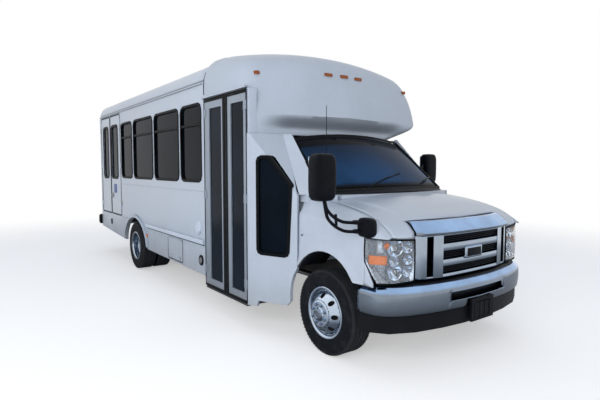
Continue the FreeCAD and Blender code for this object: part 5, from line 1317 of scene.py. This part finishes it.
class COACH_OT_glazing(bpy.types.Operator):
    """Windscreen, wipers and side windows."""

    bl_idname = "coach.glazing"
    bl_label = "Glazing"

    def execute(self, context):
        """The pane as rows between two bows, with a rubber strip round it."""
        make_piece("screen_pane", Skin().grid(screen_point_rows(18), flip=True), "screen", ["windshield"],
                   wall=0.006, turned_out=False)
        edge = screen_point_rows(14, 0.006, 0.006, 0.006, 0.001, 41)
        loop = np.concatenate([edge[0], edge[1:-1, -1], edge[-1, ::-1], edge[-2:0:-1, 0]])
        strip = Skin().ribbon(loop, SCREEN_OUT, context.scene.coach_sizes.gasket, 0.007, closed=True)
        make_piece("screen_gasket", strip, "black_rubber")
        foot = screen_point_rows(2, -0.005, 0, 0.070, 0.001, 41)[0]
        near = screen_point_rows(2, -0.005, 0, 0.004, 0.003, 41)[0]
        cowl = Skin().grid(between(near, foot, 5) + (0, 0, 0.004))
        make_piece("cowl_strip", cowl, "black_moulded", wall=0.006)
        wipers = Skin()
        for start, knee, tip in (((-0.150, -0.420, 1.372), (-0.200, -0.130, 1.470), (-0.270, 0.215, 1.545)),
                                 ((-0.150, 0.300, 1.372), (-0.215, 0.560, 1.475), (-0.300, 0.735, 1.500))):
            start, knee, tip = (np.array(p) + (0.030, 0, 0.012) for p in (start, knee, tip))
            wipers.tube(smooth_line([start, knee, (knee + tip) / 2], 16), 0.006, 8)
            blade = smooth_line([knee * 1.4 - tip * 0.4, (knee + tip) / 2, tip], 14) - (0.010, 0, 0.010)
            wipers.tube(blade, 0.007, 8)
            wipers.pillow(start, (0.045, 0.045, 0.030))
        make_piece("wipers", wipers, "black_moulded")
        dress("window_tint", "side_glass", radius=0.001)
        dress("door_glass", "driver_door_glass", radius=0.001)
        dress("black_rubber", "window_frames", radius=0.004)
        return {"FINISHED"}


# Mirrors

class COACH_OT_mirrors(bpy.types.Operator):
    """Two heads on their tube arms."""

    bl_idname = "coach.mirrors"
    bl_label = "Mirrors"

    def execute(self, context):
        """A head is a rounded form with a flat silver face; arms are circles carried along smooth lines."""
        radius = context.scene.coach_sizes.tube
        y = -CAB_HALF
        right = Skin()
        right.pillow((0.281, y - 0.247, 1.531), (0.146, 0.196, 0.362), 5.0, 18)
        right.tube(smooth_line([(0.262, y - 0.215, 1.380), (0.264, y - 0.190, 1.290),
                                (0.395, y - 0.118, 1.190), (0.486, y - 0.010, 1.185)], 26), radius)
        right.tube(smooth_line([(0.262, y - 0.215, 1.360), (0.266, y - 0.186, 1.225),
                                (0.395, y - 0.105, 1.120), (0.486, y - 0.005, 1.115)], 26), radius)
        right.tube([(0.325, y - 0.150, 1.248), (0.325, y - 0.146, 1.200), (0.325, y - 0.142, 1.162)],
                   radius * 0.9)
        right.pillow((0.500, y + 0.014, 1.150), (0.160, 0.085, 0.150), 4.0, 14)
        right.pillow((0.430, y - 0.035, 1.187), (0.060, 0.060, 0.034), 3.0, 10)
        right.pillow((0.430, y - 0.030, 1.117), (0.060, 0.060, 0.034), 3.0, 10)
        make_piece("mirror_right_body", right, "black_moulded", ["mirror_right"])
        y = CAB_HALF
        left = Skin()
        left.pillow((-0.700, y + 0.2525, 1.592), (0.140, 0.185, 0.364), 5.0, 18)
        left.tube(smooth_line([(-0.700, y + 0.165, 1.640), (-0.640, y + 0.060, 1.560),
                               (-0.560, y + 0.014, 1.330)], 20), radius)
        left.tube(smooth_line([(-0.700, y + 0.165, 1.470), (-0.640, y + 0.060, 1.380),
                               (-0.560, y + 0.014, 1.250)], 20), radius)
        left.pillow((-0.560, y + 0.014, 1.275), (0.122, 0.028, 0.152), 4.0, 12)
        make_piece("mirror_left_body", left, "black_moulded", ["mirror_left"], body="driver_door_body")
        for name, body, x, y, z in (("mirror_right_faces", "coach", 0.2105, -CAB_HALF - 0.247, 1.531),
                                    ("mirror_left_faces", "driver_door_body", -0.767, CAB_HALF + 0.2525,
                                     1.592)):
            faces = Skin()
            faces.plate((x - 0.004, y - 0.078, z - 0.045), (x + 0.004, y + 0.078, z + 0.155), 0.003, 2)
            faces.plate((x - 0.004, y - 0.078, z - 0.150), (x + 0.004, y + 0.078, z - 0.058), 0.003, 2)
            make_piece(name, faces, "mirror_silver", body=body)
        return {"FINISHED"}


# Wheels

BEAD = 0.208
DISC_INNER = 0.118
DISC_OUTER = 0.184


def tyre_profile(width, outer, inner, groove):
    """Half a tyre's section: bead, bulged sidewall, shoulder, then ribs and grooves to the middle."""
    w = width / 2
    side = smooth_line([(w * 0.80, inner), (w * 0.93, inner + 0.012), (w * 0.995, inner + 0.060),
                        (w * 0.985, outer - 0.050), (w * 0.93, outer - 0.018), (w * 0.86, outer - 0.004)],
                       20)
    tread = [(w * 0.80, outer)]
    for place in (0.56, 0.22):
        tread += [(w * (place + 0.065), outer), (w * (place + 0.05), outer - groove),
                  (w * (place - 0.05), outer - groove), (w * (place - 0.065), outer)]
    tread += [(0.0, outer)]
    return np.vstack([side, tread])


def tread_blocks(skin, centre, width, outer, count=64):
    """Shoulder blocks: one curved slab repeated round the tyre, both sides, as one array."""
    turn = around(count)
    part = 0.62 * 2 * math.pi / count
    u = np.array([0, 0, 1, 1, 0, 0, 1, 1]) * part
    v = np.array([0.70, 0.955, 0.955, 0.70, 0.70, 0.89, 0.89, 0.70]) * width / 2
    r = np.array([outer - 0.016, outer - 0.036, outer - 0.036, outer - 0.016, outer + 0.0015, outer - 0.002,
                  outer - 0.002, outer + 0.0015])
    quads = np.array([(3, 2, 1, 0), (4, 5, 6, 7), (0, 1, 5, 4), (2, 3, 7, 6), (1, 2, 6, 5), (3, 0, 4, 7)])
    for side in (-1, 1):
        angle = turn[:, None] + u[None] + (0.5 * part if side > 0 else 0)
        p = points(r * np.cos(angle), side * v + 0 * angle, r * np.sin(angle)) + np.asarray(centre)
        base = skin.count + 8 * np.arange(count)[:, None, None]
        faces = (quads[None] + base).reshape(-1, 4)
        skin.points.append(p.reshape(-1, 3))
        skin.spots.append(np.zeros((8 * count, 2)))
        skin.faces.append(faces if side > 0 else faces[:, ::-1])
        skin.count += 8 * count


def make_tyre(skin, centre, width, groove):
    """A closed tyre: its half section, mirrored, turned about the axle."""
    outer = TYRE - 0.001
    half = tyre_profile(width, outer, BEAD, groove)
    profile = np.vstack([half * (-1, 1), half[-2::-1]])
    inside = np.array([(width * 0.36, BEAD + 0.004), (-width * 0.36, BEAD + 0.004)])
    skin.turned(np.vstack([profile, inside, profile[:1]]), centre, 96)
    tread_blocks(skin, centre, width, outer)


def holed_disc(skin, centre, side, form, holes, place, radius):
    """A dished disc with round holes: each sector is lines from its hole's edge to the sector's own edge."""
    steps = 8
    part = 2 * math.pi / holes
    edge = np.linspace(0, 1, steps + 1)[:-1]
    a = np.concatenate([-0.5 + 0 * edge, -0.5 + edge, 0.5 + 0 * edge, 0.5 - edge]) * part
    run = (DISC_OUTER - DISC_INNER) * edge
    r = np.concatenate([DISC_INNER + run, DISC_OUTER + 0 * edge, DISC_OUTER - run, DISC_INNER + 0 * edge])
    border = np.stack([r * np.cos(a), r * np.sin(a)], -1)
    way = border - (place, 0)
    start = (place, 0) + radius * way / np.linalg.norm(way, axis=1, keepdims=True)
    s = np.linspace(0, 1, 6)[:, None, None] ** 1.4
    flat = start[None] * (1 - s) + border[None] * s
    reach = np.hypot(flat[..., 0], flat[..., 1])
    angle = np.arctan2(flat[..., 1], flat[..., 0])
    depth = form(reach)
    lip = np.concatenate([depth[:1] - 0.012, depth])
    reach = np.concatenate([reach[:1], reach])
    angle = np.concatenate([angle[:1], angle])
    for k in range(holes):
        turn = angle + k * part
        p = points(reach * np.cos(turn), side * lip, reach * np.sin(turn)) + np.asarray(centre)
        skin.grid(p, flip=side > 0, round_v=True)


def front_dish(r):
    """Outward height of the polished front disc over its radius, from the middle of the tyre."""
    return curve([0, 0.050, 0.060, 0.102, 0.130, 0.158, 0.184, 0.205],
                 [0.172, 0.172, 0.160, 0.158, 0.143, 0.116, 0.082, 0.070], r)


def rear_dish(r):
    """Outward height of the rear disc: deeply sunk, rising to its rim."""
    return curve([0, 0.070, 0.095, 0.120, 0.150, 0.178, 0.205],
                 [-0.010, -0.010, -0.052, -0.058, -0.052, -0.010, 0.020], r)


def wheel_face(skin, centre, side, form):
    """Hub middle, holed disc, deep outer wall and rolled lip, as turned and sectored surfaces."""
    r = np.linspace(0, DISC_INNER, 22)
    hub = np.stack([side * form(r), r], -1)
    skin.turned(hub, centre, 96, flip=side < 0)
    holed_disc(skin, centre, side, form, holes=8, place=0.152, radius=0.021)
    rim = 0.196
    r = np.linspace(DISC_OUTER, rim, 4)
    wall = np.stack([form(r), r], -1)
    lip = smooth_line([(form(rim), rim), (0.070, 0.199), (0.092, 0.202), (0.100, 0.208), (0.103, 0.216),
                       (0.100, 0.221), (0.092, 0.222)], 16)
    outer = np.vstack([wall, lip[1:]])
    skin.turned(outer * (side, 1), centre, 96, flip=side < 0)


def wheel_nuts(skin, centre, side, form, count=8, circle=0.083):
    """Domed nuts in a ring, each a short turned form with a waist."""
    profile = np.array([(0.0, 0.0155), (0.004, 0.0155), (0.006, 0.0125), (0.020, 0.0120), (0.026, 0.008),
                        (0.028, 0.0)])
    for k in range(count):
        a = 2 * math.pi * (k + 0.5) / count
        x, z = circle * math.cos(a), circle * math.sin(a)
        base = float(form(np.array([circle]))[0])
        skin.turned(profile * (side, 1) + (side * (base - 0.002), 0), np.asarray(centre) + (x, 0, z), 12,
                    flip=side < 0)


def polish_wheel(wheel, centre, side, form, cover, stands_for=()):
    """A wheel's polished face, then its nuts with the cover in their middle."""
    face = Skin()
    wheel_face(face, centre, side, form)
    make_piece(wheel + "_face", face, "wheel_polish", stands_for, body=wheel, wall=0.006, turned_out=False)
    nuts = Skin()
    wheel_nuts(nuts, centre, side, form)
    nuts.turned(np.array(cover) * (side, 1), centre, 48, side < 0)
    make_piece(wheel + "_nuts", nuts, "chrome", body=wheel)


class COACH_OT_wheels(bpy.types.Operator):
    """Tyres, polished discs, nuts and hub covers."""

    bl_idname = "coach.wheels"
    bl_label = "Wheels"

    def execute(self, context):
        """Sections turned about each axle."""
        groove = context.scene.coach_sizes.groove
        for hand, side in (("right", -1), ("left", 1)):
            low, high = extent("tyre_front_" + hand)[2:4]
            centre = (0.0, (low + high) / 2, TYRE)
            width = high - low
            wheel = "wheel_front_" + hand
            tyre = Skin()
            make_tyre(tyre, centre, width, groove)
            make_piece("tyre_front_" + hand + "_skin", tyre, "front_tyre", ["tyre_front_" + hand],
                       body=wheel)
            cover = [(0.150, 0.058), (0.172, 0.057), (0.184, 0.050), (0.189, 0.034), (0.184, 0.030),
                     (0.184, 0.0)]
            polish_wheel(wheel, centre, side, front_dish, cover, ["rim_front_" + hand])
            line = np.array([(-0.100, 0.207), (-0.080, 0.199), (0.060, 0.196), (0.070, 0.190),
                             (0.020, 0.186), (-0.080, 0.188), (-0.100, 0.196), (-0.100, 0.207)])
            barrel = Skin().turned(line * (side, 1), centre, 64, side < 0)
            make_piece(wheel + "_barrel", barrel, "steel", body=wheel)
            web = np.array([(0.044, 0.0), (0.044, 0.183), (0.036, 0.183), (0.036, 0.0)])
            make_piece(wheel + "_back", Skin().turned(web * (side, 1), centre, 48, side > 0), "cast",
                       body=wheel)
            low, high = extent("tyres_rear_" + hand)[2:4]
            wheels = "wheels_rear_" + hand
            pair = Skin()
            for near, far in ((low, low + width), (high - width, high)):
                make_tyre(pair, (REAR_AXLE, (near + far) / 2, TYRE), width, groove)
            make_piece("tyres_rear_" + hand + "_skin", pair, "rear_tyre", ["tyres_rear_" + hand],
                       body=wheels)
            outer = (REAR_AXLE, (high - width / 2) if side > 0 else (low + width / 2), TYRE)
            hub = [(-0.060, 0.060), (0.020, 0.058), (0.030, 0.052), (0.034, 0.030), (0.036, 0.0)]
            polish_wheel(wheels, outer, side, rear_dish, hub)
        dress("steel", "rims_rear_right", "rims_rear_left", radius=0.002)
        return {"FINISHED"}


# Doors

OFF_WALL = 0.0006


def wall_rubber(x0, x1, z0, z1, radius, y, width, depth):
    """A rubber strip round an opening in the right wall, its back at y."""
    line = rounded_ring([(x0, z0), (x1, z0), (x1, z1), (x0, z1)], radius)
    return Skin().ribbon(points(line[:, 0], y, line[:, 1]), (0, -1, 0), width, depth, closed=True)


class COACH_OT_doors(bpy.types.Operator):
    """Entry doors, lift doors, the driver's door and their fittings."""

    bl_idname = "coach.doors"
    bl_label = "Doors"

    def execute(self, context):
        """Leaves from the solids; seals, handles, hinge plates and gutter made here."""
        dress("anodised", "entry_leaf_rear", "entry_leaf_front", radius=0.003)
        dress("door_glass", "entry_glass_rear", "entry_glass_front", radius=0.001)
        dress("white_paint", "lift_leaf_rear", "lift_leaf_front", radius=0.004)
        dress("window_tint", "lift_glass_rear", "lift_glass_front", radius=0.001)
        face = -HALF
        first, meet, _, _, low, high = extent("entry_leaf_rear")
        start, last = extent("entry_leaf_front")[:2]
        for end, x0, x1 in (("rear", meet - 0.048, meet - 0.001), ("front", start + 0.001, start + 0.048)):
            seal = Skin().plate((x0, face - 0.006, low + 0.004), (x1, face + 0.003, high - 0.004), 0.003)
            make_piece("entry_seal_" + end, seal, "black_rubber", body="entry_" + end)
        for end, x0, x1, hinge in (("rear", first, meet, first), ("front", start, last, last - 0.014)):
            # Black rubber at each leaf's hinge edge, foot and top; the top strip is partly a rubber brush
            # and partly a painted shadow under the gutter.
            edges = Skin()
            for a, b, foot, top in ((hinge + 0.001, hinge + 0.013, low + 0.004, high - 0.004),
                                    (x0 + 0.003, x1 - 0.003, low + 0.001, low + 0.030),
                                    (x0 + 0.003, x1 - 0.003, high - 0.036, high - 0.001)):
                edges.plate((a, face - 0.005, foot), (b, face - OFF_WALL, top), 0.003)
            make_piece("entry_edges_" + end, edges, "black_rubber", body="entry_" + end)
        x = meet - 0.180
        grip = [(0.034, 1.000), (0.075, 1.030), (0.080, 1.100), (0.080, 1.600), (0.075, 1.670),
                (0.034, 1.700)]
        pull = Skin().tube(smooth_line([(x, face + out, z) for out, z in grip], 30), 0.013)
        make_piece("entry_grab_handle", pull, "chrome", body="entry_rear")
        gutter = Skin().plate((DOOR_REAR - 0.028, face - 0.012, DOOR_TOP + 0.004),
                              (DOOR_FRONT + 0.010, face + 0.020, DOOR_TOP + 0.026), 0.004)
        make_piece("entry_gutter", gutter, "anodised")
        wall_plates = Skin()
        for end, side in (("rear", 1), ("front", -1)):
            body = "lift_" + end
            x0, x1, _, _, z0, z1 = extent("lift_leaf_" + end)
            seal = wall_rubber(x0 + 0.012, x1 - 0.012, z0 + 0.012, z1 - 0.012, 0.030, face + 0.001, 0.018,
                               0.005)
            make_piece("lift_seal_" + end, seal, "black_rubber", body=body)
            a, b, _, _, foot, top = extent("lift_glass_" + end)
            rubber = wall_rubber(a, b, foot, top, 0.070, face - 0.001, 0.040, 0.008)
            make_piece("lift_rubber_" + end, rubber, "black_rubber", body=body)
            fittings = Skin()
            if side < 0:
                x = x0 + 0.085
                fittings.plate((x - 0.038, face - 0.010, 1.075), (x + 0.038, face + 0.004, 1.165), 0.006)
                fittings.plate((x - 0.026, face - 0.020, 1.100), (x + 0.026, face - 0.006, 1.128), 0.006)
            hinge = x0 if side > 0 else x1
            for z in (z0 + 0.22, (z0 + z1) / 2, z1 - 0.22):
                for plates, near, far in ((fittings, 0.004, 0.034), (wall_plates, -0.012, -0.038)):
                    a, b = sorted((hinge + side * near, hinge + side * far))
                    plates.plate((a, face - 0.006, z - 0.045), (b, face - OFF_WALL, z + 0.045), 0.003)
            make_piece("lift_fittings_" + end, fittings, "steel", body=body)
        make_piece("lift_hinge_plates", wall_plates, "steel")
        x = extent("driver_door")[0]
        y = CAB_HALF - 0.006
        handle = Skin().pillow((x + 0.16, y + 0.018, 1.235), (0.150, 0.040, 0.036), 4.0, 12)
        handle.pillow((x + 0.255, y + 0.008, 1.235), (0.030, 0.026, 0.030), 2.4, 10)
        make_piece("driver_door_handle", handle, "black_moulded", body="driver_door_body")
        x0, x1, _, _, z0, z1 = extent("compartment_door")
        latches = Skin()
        for x in (x0 + 0.11, x1 - 0.11):
            latches.plate((x - 0.026, face - 0.008, z0 + 0.028), (x + 0.026, face + 0.004, z0 + 0.066),
                          0.005)
        make_piece("compartment_latches", latches, "steel", body="locker_lid")
        seal = wall_rubber(x0 + 0.008, x1 - 0.008, z0 + 0.008, z1 - 0.008, 0.02, face + 0.001, 0.010, 0.003)
        make_piece("compartment_seal", seal, "black_rubber", body="locker_lid")
        return {"FINISHED"}


# Trim

BELT = 1.335
RAIL = 0.749
# Height of the black strip painted as the rub rail's shadow.
RAIL_SHADOW = 0.714
FILLER = (-2.033, -HALF, 0.903)
LOW_PORT = (-1.966, -HALF, 0.531)


def disc_form(skin, centre, radius_x, radius_z, depth, steps=40):
    """A shallow domed oval on the right wall: rings shrinking to the middle."""
    r = np.array([1.0, 1.0, 0.94, 0.80, 0.78, 0.5, 0.0])[:, None]
    lift = np.array([0.0, 0.6, 1.0, 1.0, 0.7, 0.75, 0.8])[:, None]
    a = around(steps)[None]
    p = points(centre[0] + radius_x * r * np.cos(a), centre[1] - depth * lift + 0 * a,
               centre[2] + radius_z * r * np.sin(a))
    skin.grid(p, flip=True, round_v=True)


class COACH_OT_trim(bpy.types.Operator):
    """Rails, seams, reflectors, covers, wheel house liners and the aerial."""

    bl_idname = "coach.trim"
    bl_label = "Trim"

    def execute(self, context):
        """Strips carried along plain lines on the walls."""
        dress("white_moulding", "body_trim", radius=0.003)
        seams = Skin()
        lift_end = extent("lift_leaf_front")[1]
        lift_start = extent("lift_leaf_rear")[0]
        out = np.array([0, -1.0, 0])
        for x0, x1 in ((REAR + 0.004, lift_start - 0.045), (lift_end + 0.045, CAP_REAR - 0.030)):
            seams.ribbon(points(np.linspace(x0, x1, 8), -HALF, BELT), out, 0.012, 0.003)
        seams.ribbon(points(CAP_REAR + 0.002, -HALF, np.linspace(2.400, 2.560, 4)), out, 0.010, 0.002)
        seams.ribbon(points(np.linspace(REAR + 0.004, -1.650, 8), HALF, BELT), -out, 0.012, 0.003)
        make_piece("wall_seams", seams, "white_moulding")
        caps = Skin()
        lines = Skin()
        flare = 0.600
        for side in (-1, 1):
            for x0, x1 in ((REAR_AXLE + flare, CAP_REAR - 0.030), (lift_end + 0.045, REAR_AXLE - flare)):
                if x1 - x0 > 0.1:
                    run = np.linspace(x0, x1, 6)
                    caps.ribbon(points(run, side * (HALF + 0.013), RAIL), out * -side, 0.050, 0.016)
                    # A black strip just under each rail: a painted shadow of the rail.
                    lines.ribbon(points(run, side * (HALF + 0.001), RAIL_SHADOW), out * -side, 0.012, 0.004)
        make_piece("rub_rail_caps", caps, "rail_white")
        make_piece("rub_rail_shadow_strips", lines, "black_rubber")
        ends = Skin()
        for side in (-1, 1):
            ends.pillow((REAR - 0.078, side * (HALF - 0.045), 0.610), (0.112, 0.170, 0.190), 5.0, 12)
        make_piece("rear_bumper_ends", ends, "black_rubber")
        gap = Skin()
        for line in cap_skin(-0.0015)[[0, -1]]:
            line = line[line[:, 2] > 2.40]
            facing = unit(points(0 * line[:, 0], line[:, 1], (line[:, 2] - 2.3) * 1.2))
            gap.ribbon(line + (0.004, 0, 0), facing, 0.014, 0.003)
        make_piece("cap_joint", gap, "black_rubber")
        amber = Skin().plate((-3.945, -HALF - 0.008, 0.568), (-3.865, -HALF + 0.001, 0.618), 0.004)
        make_piece("side_reflectors", amber, "amber_lens")
        white = Skin()
        disc_form(white, FILLER, 0.066, 0.082, 0.012)
        disc_form(white, np.array(FILLER) - (0, 0.008, 0), 0.050, 0.062, 0.008)
        make_piece("filler_cover", white, "rail_white")
        dark = Skin()
        disc_form(dark, LOW_PORT, 0.056, 0.062, 0.014)
        disc_form(dark, (-5.850, -HALF, 0.631), 0.034, 0.052, 0.010)
        bright = Skin()
        disc_form(bright, np.array(LOW_PORT) - (0, 0.009, 0), 0.034, 0.038, 0.009)
        make_piece("port_cover", bright, "steel")
        make_piece("dark_ports", dark, "black_moulded")
        sign = Skin().plate((-5.640, -HALF - 0.006, 1.165), (-5.480, -HALF + 0.004, 1.320), 0.003)
        make_piece("bare_sign", sign, "sign_plate", body="lift_front")
        x, y, z = -0.205, -0.800, 1.352
        aerial = Skin().pillow((x, y, z + 0.008), (0.046, 0.046, 0.040), 2.5, 10)
        aerial.tube([(x, y, z + 0.016), (x, y, z + 0.05), (x + 0.004, y, z + 0.4), (x - 0.002, y, 2.155)],
                    0.0028, 8)
        make_piece("aerial", aerial, "black_moulded")
        hole = Skin()
        disc_form(hole, (-0.306, 0.004 - extent("fenders")[3], 1.001), 0.009, 0.009, 0.004, 16)
        make_piece("fender_plug", hole, "black_rubber")
        ring = Skin()
        arch = context.scene.coach_sizes.arch
        turn = np.linspace(math.acos(0.362 / arch), math.pi - math.acos(0.366 / arch), 50)
        lip = points(arch * np.cos(turn), -CAB_HALF + 0.020, ARCH_HEIGHT + arch * np.sin(turn))
        ring.both(np.concatenate([lip[None] - (0, 0.002, 0), lip[None] + (0, 0.30, 0)]))
        make_piece("wheel_house_liners", ring, "black_moulded", wall=0.004)
        return {"FINISHED"}


# Cabin and chassis

def cushion(centre, size, crown=0.018, squareness=5.0, steps=18, channels=0):
    """A stuffed form: a rounded box whose faces swell to the middle, with sewn channels across it."""
    made = Skin().pillow((0, 0, 0), size, squareness, steps)
    p = made.points[0]
    half = np.asarray(size) / 2
    t = p / half
    k = int(np.argmin(size))
    a, b = [i for i in range(3) if i != k]
    swell = np.cos(np.clip(t[:, a], -1, 1) * math.pi / 2) * np.cos(np.clip(t[:, b], -1, 1) * math.pi / 2)
    line = 1.0
    if channels:
        wave = np.abs(np.sin(t[:, b] * math.pi / 2 * channels))
        line = 0.55 + 0.45 * wave ** 0.5
    p[:, k] *= (1 - 2 * crown / size[k]) + (2 * crown / size[k]) * swell * line
    pull = 1 - 0.03 * (1 - np.abs(t[:, b]) ** 4) * np.abs(t[:, a]) ** 6
    p[:, a] *= pull
    made.points[0] = p + np.asarray(centre)
    return made


class COACH_OT_cabin(bpy.types.Operator):
    """Seats, dash, steering wheel, rails, lift and floor."""

    bl_idname = "coach.cabin"
    bl_label = "Cabin"

    def execute(self, context):
        """Cushions replace the seats' solid pads; the rest are the solids, dressed."""
        dress("deck_rubber", "floor_deck", "floor_wells", radius=0.003)
        dress("dark_lining", "dashboard", radius=0.012)
        dress("chrome", "grab_rails", radius=0.001)
        dress("lift_paint", "wheelchair_lift", radius=0.003)
        frames = Skin()
        deck = extent("floor_deck")[5]
        pitch = 0.760
        aisle = 0.330
        wall = HALF - 0.069
        seats = [(-2.200 - pitch * i, aisle, wall) for i in range(5)]
        seats += [(-2.350 - pitch * i, -wall, -aisle) for i in range(3)]
        for k, (x, y0, y1) in enumerate(seats):
            wide = (y1 - y0) / 2
            for s, y in enumerate((y0 + wide / 2, y1 - wide / 2)):
                name = "seat_%d_%d" % (k, s)
                pad = cushion((x - 0.21, y, 1.146), (0.440, wide - 0.012, 0.100), 0.020)
                back = cushion((x - 0.435, y, 1.520), (0.085, wide - 0.012, 0.620), 0.018, channels=3)
                for part, form in (("_pad", pad), ("_back", back)):
                    make_piece(name + part, form, "seat_cloth")
            for y in (y0 + 0.10, y1 - 0.10):
                for leg in (x - 0.40, x - 0.10):
                    frames.plate((leg, y - 0.018, deck), (leg + 0.04, y + 0.018, 1.10), 0.006)
            frames.plate((x - 0.425, y0 + 0.02, 1.075), (x - 0.02, y1 - 0.02, 1.100), 0.008)
            frames.plate((x - 0.480, y0 + 0.03, 1.080), (x - 0.462, y1 - 0.03, 1.800), 0.006)
        make_piece("seat_frames", frames, "lining", ["passenger_seats"])
        x0, x1, y0, y1, foot, _ = extent("driver_seat")
        y = (y0 + y1) / 2
        base = Skin().plate((x0 + 0.06, y - 0.20, foot), (x1 - 0.06, y + 0.20, 1.0), 0.02, 3)
        make_piece("driver_seat_base", base, "dark_lining", ["driver_seat"])
        pad = cushion((x1 - 0.255, y, 1.075), (0.500, 0.480, 0.140), 0.03)
        back = cushion((x0 + 0.085, y, 1.480), (0.140, 0.470, 0.720), 0.03, channels=3)
        for name, form in (("driver_seat_pad", pad), ("driver_seat_back", back)):
            make_piece(name, form, "seat_cloth")
        dress("dark_lining", "steering_wheel", radius=0.003)
        return {"FINISHED"}


class COACH_OT_chassis(bpy.types.Operator):
    """Rails, axles, engine and exhaust."""

    bl_idname = "coach.chassis"
    bl_label = "Chassis"

    def execute(self, context):
        """The solids, with painted, cast and bare metal."""
        dress("chassis", "frame_rails", "fuel_tank", radius=0.005)
        dress("cast", "front_axle_beams", "knuckle_right", "knuckle_left", "rear_axle", "engine_block",
              radius=0.004)
        dress("steel", "drive_shaft", "exhaust_system", "radiator", radius=0.002)
        return {"FINISHED"}


# Stage

class COACH_OT_stage(bpy.types.Operator):
    """Pale floor, soft light and the camera."""

    bl_idname = "coach.stage"
    bl_label = "Stage"

    def execute(self, context):
        """A floor that fades to white, a sky that is white to the eye, and one view from the front right."""
        scene = context.scene
        floor_form = bpy.data.meshes.new("studio_floor")
        spots = [(40 * x, 40 * y, -0.0015) for x, y in ((-1, -1), (1, -1), (1, 1), (-1, 1))]
        floor_form.from_pydata(spots, [], [(0, 1, 2, 3)])
        floor = bpy.data.objects.new("studio_floor", floor_form)
        scene.collection.objects.link(floor)
        made, graph, main = new_finish("studio_floor")
        seen = graph.add("ShaderNodeLightPath").outputs["Is Camera Ray"]
        graph.feed(main.inputs, {"Base Color": hue("floor"), "Roughness": 1.0, "Specular IOR Level": 0.0,
                                 "Emission Color": (1.0, 1.0, 1.0),
                                 "Emission Strength": graph.times(seen, 0.42)})
        far = graph.add("ShaderNodeVectorMath", {0: graph.place()}, operation="LENGTH").outputs["Value"]
        white = graph.add("ShaderNodeEmission", {"Color": (1.0, 1.0, 1.0), "Strength": 1.0}).outputs[0]
        both = graph.add("ShaderNodeMixShader", {0: graph.spread(far, 5.0, 11.0), 1: main.outputs[0],
                                                 2: white})
        graph.feed(made.node_tree.nodes["Material Output"].inputs, {"Surface": both.outputs[0]})
        floor_form.materials.append(made)
        world = bpy.data.worlds.new("studio_sky")
        world.use_nodes = True
        scene.world = world
        graph = Graph(world.node_tree)
        path = graph.add("ShaderNodeLightPath").outputs
        bent = graph.maths("MAXIMUM", path["Is Glossy Ray"], path["Is Transmission Ray"])
        seen = graph.maths("MAXIMUM", path["Is Camera Ray"], bent)
        up = graph.parts(graph.add("ShaderNodeTexCoord").outputs["Generated"])["Z"]
        sky = graph.mix(graph.spread(up, -0.1, 0.6), (0.78, 0.80, 0.83), (0.66, 0.74, 0.86))
        graph.feed(world.node_tree.nodes["Background"].inputs, {
            "Color": graph.mix(seen, sky, (1.0, 1.0, 1.0)),
            "Strength": graph.spread(seen, 0.0, 1.0, 0.42, 1.0),
        })
        lights = (("key", 560.0, 7.0, (7.2, -8.0, 3.2)), ("over", 90.0, 9.0, (-1.0, 0.0, 9.0)),
                  ("ahead", 50.0, 6.0, (11.0, 2.0, 4.0)))
        for name, energy, size, spot in lights:
            light = bpy.data.lights.new(name, "AREA")
            light.energy = energy
            light.size = size
            lamp = bpy.data.objects.new(name, light)
            lamp.location = spot
            way = Vector((0.0, 0.0, 1.2)) - Vector(spot)
            lamp.rotation_euler = way.to_track_quat("-Z", "Y").to_euler()
            lamp.visible_glossy = False
            scene.collection.objects.link(lamp)
        lens_form = bpy.data.cameras.new("view")
        lens_form.lens = 27.894
        lens_form.clip_end = 200
        camera = bpy.data.objects.new("view", lens_form)
        camera.location = (5.928, -3.466, 1.601)
        yaw, pitch = math.radians(143.68), math.radians(-3.93)
        way = Vector((math.cos(yaw) * math.cos(pitch), math.sin(yaw) * math.cos(pitch), math.sin(pitch)))
        camera.rotation_euler = way.to_track_quat("-Z", "Y").to_euler()
        scene.collection.objects.link(camera)
        scene.camera = camera
        scene.view_settings.view_transform = "Standard"
        return {"FINISHED"}


class COACH_PT_pieces(bpy.types.Panel):
    """Every step and every size in the sidebar."""

    bl_idname = "COACH_PT_pieces"
    bl_label = "Short coach"
    bl_space_type = "VIEW_3D"
    bl_region_type = "UI"
    bl_category = "Coach"

    def draw(self, context):
        """Lists the steps, then the sizes and colours."""
        for step in STEPS:
            self.layout.operator(step.bl_idname)
        for group in (context.scene.coach_sizes, context.scene.coach_colours):
            for title in group.bl_rna.properties.keys():
                if title not in ("rna_type", "name"):
                    self.layout.prop(group, title)


STEPS = (COACH_OT_stage, COACH_OT_shell, COACH_OT_nose, COACH_OT_lamps, COACH_OT_grille, COACH_OT_bumpers,
         COACH_OT_glazing, COACH_OT_mirrors, COACH_OT_wheels, COACH_OT_doors, COACH_OT_trim, COACH_OT_cabin,
         COACH_OT_chassis)
CLASSES = (CoachColours, CoachSizes, *STEPS, COACH_PT_pieces)


def register():
    """Adds the classes and the two groups of properties."""
    for one in CLASSES:
        bpy.utils.register_class(one)
    bpy.types.Scene.coach_colours = bpy.props.PointerProperty(type=CoachColours)
    bpy.types.Scene.coach_sizes = bpy.props.PointerProperty(type=CoachSizes)


def unregister():
    """Takes them away again."""
    del bpy.types.Scene.coach_sizes
    del bpy.types.Scene.coach_colours
    for one in reversed(CLASSES):
        bpy.utils.unregister_class(one)


def main():
    """Builds the whole coach."""
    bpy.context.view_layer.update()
    register()
    for step in STEPS:
        family, name = step.bl_idname.split(".")
        getattr(getattr(bpy.ops, family), name)()
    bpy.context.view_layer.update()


if __name__ == "__main__":
    main()
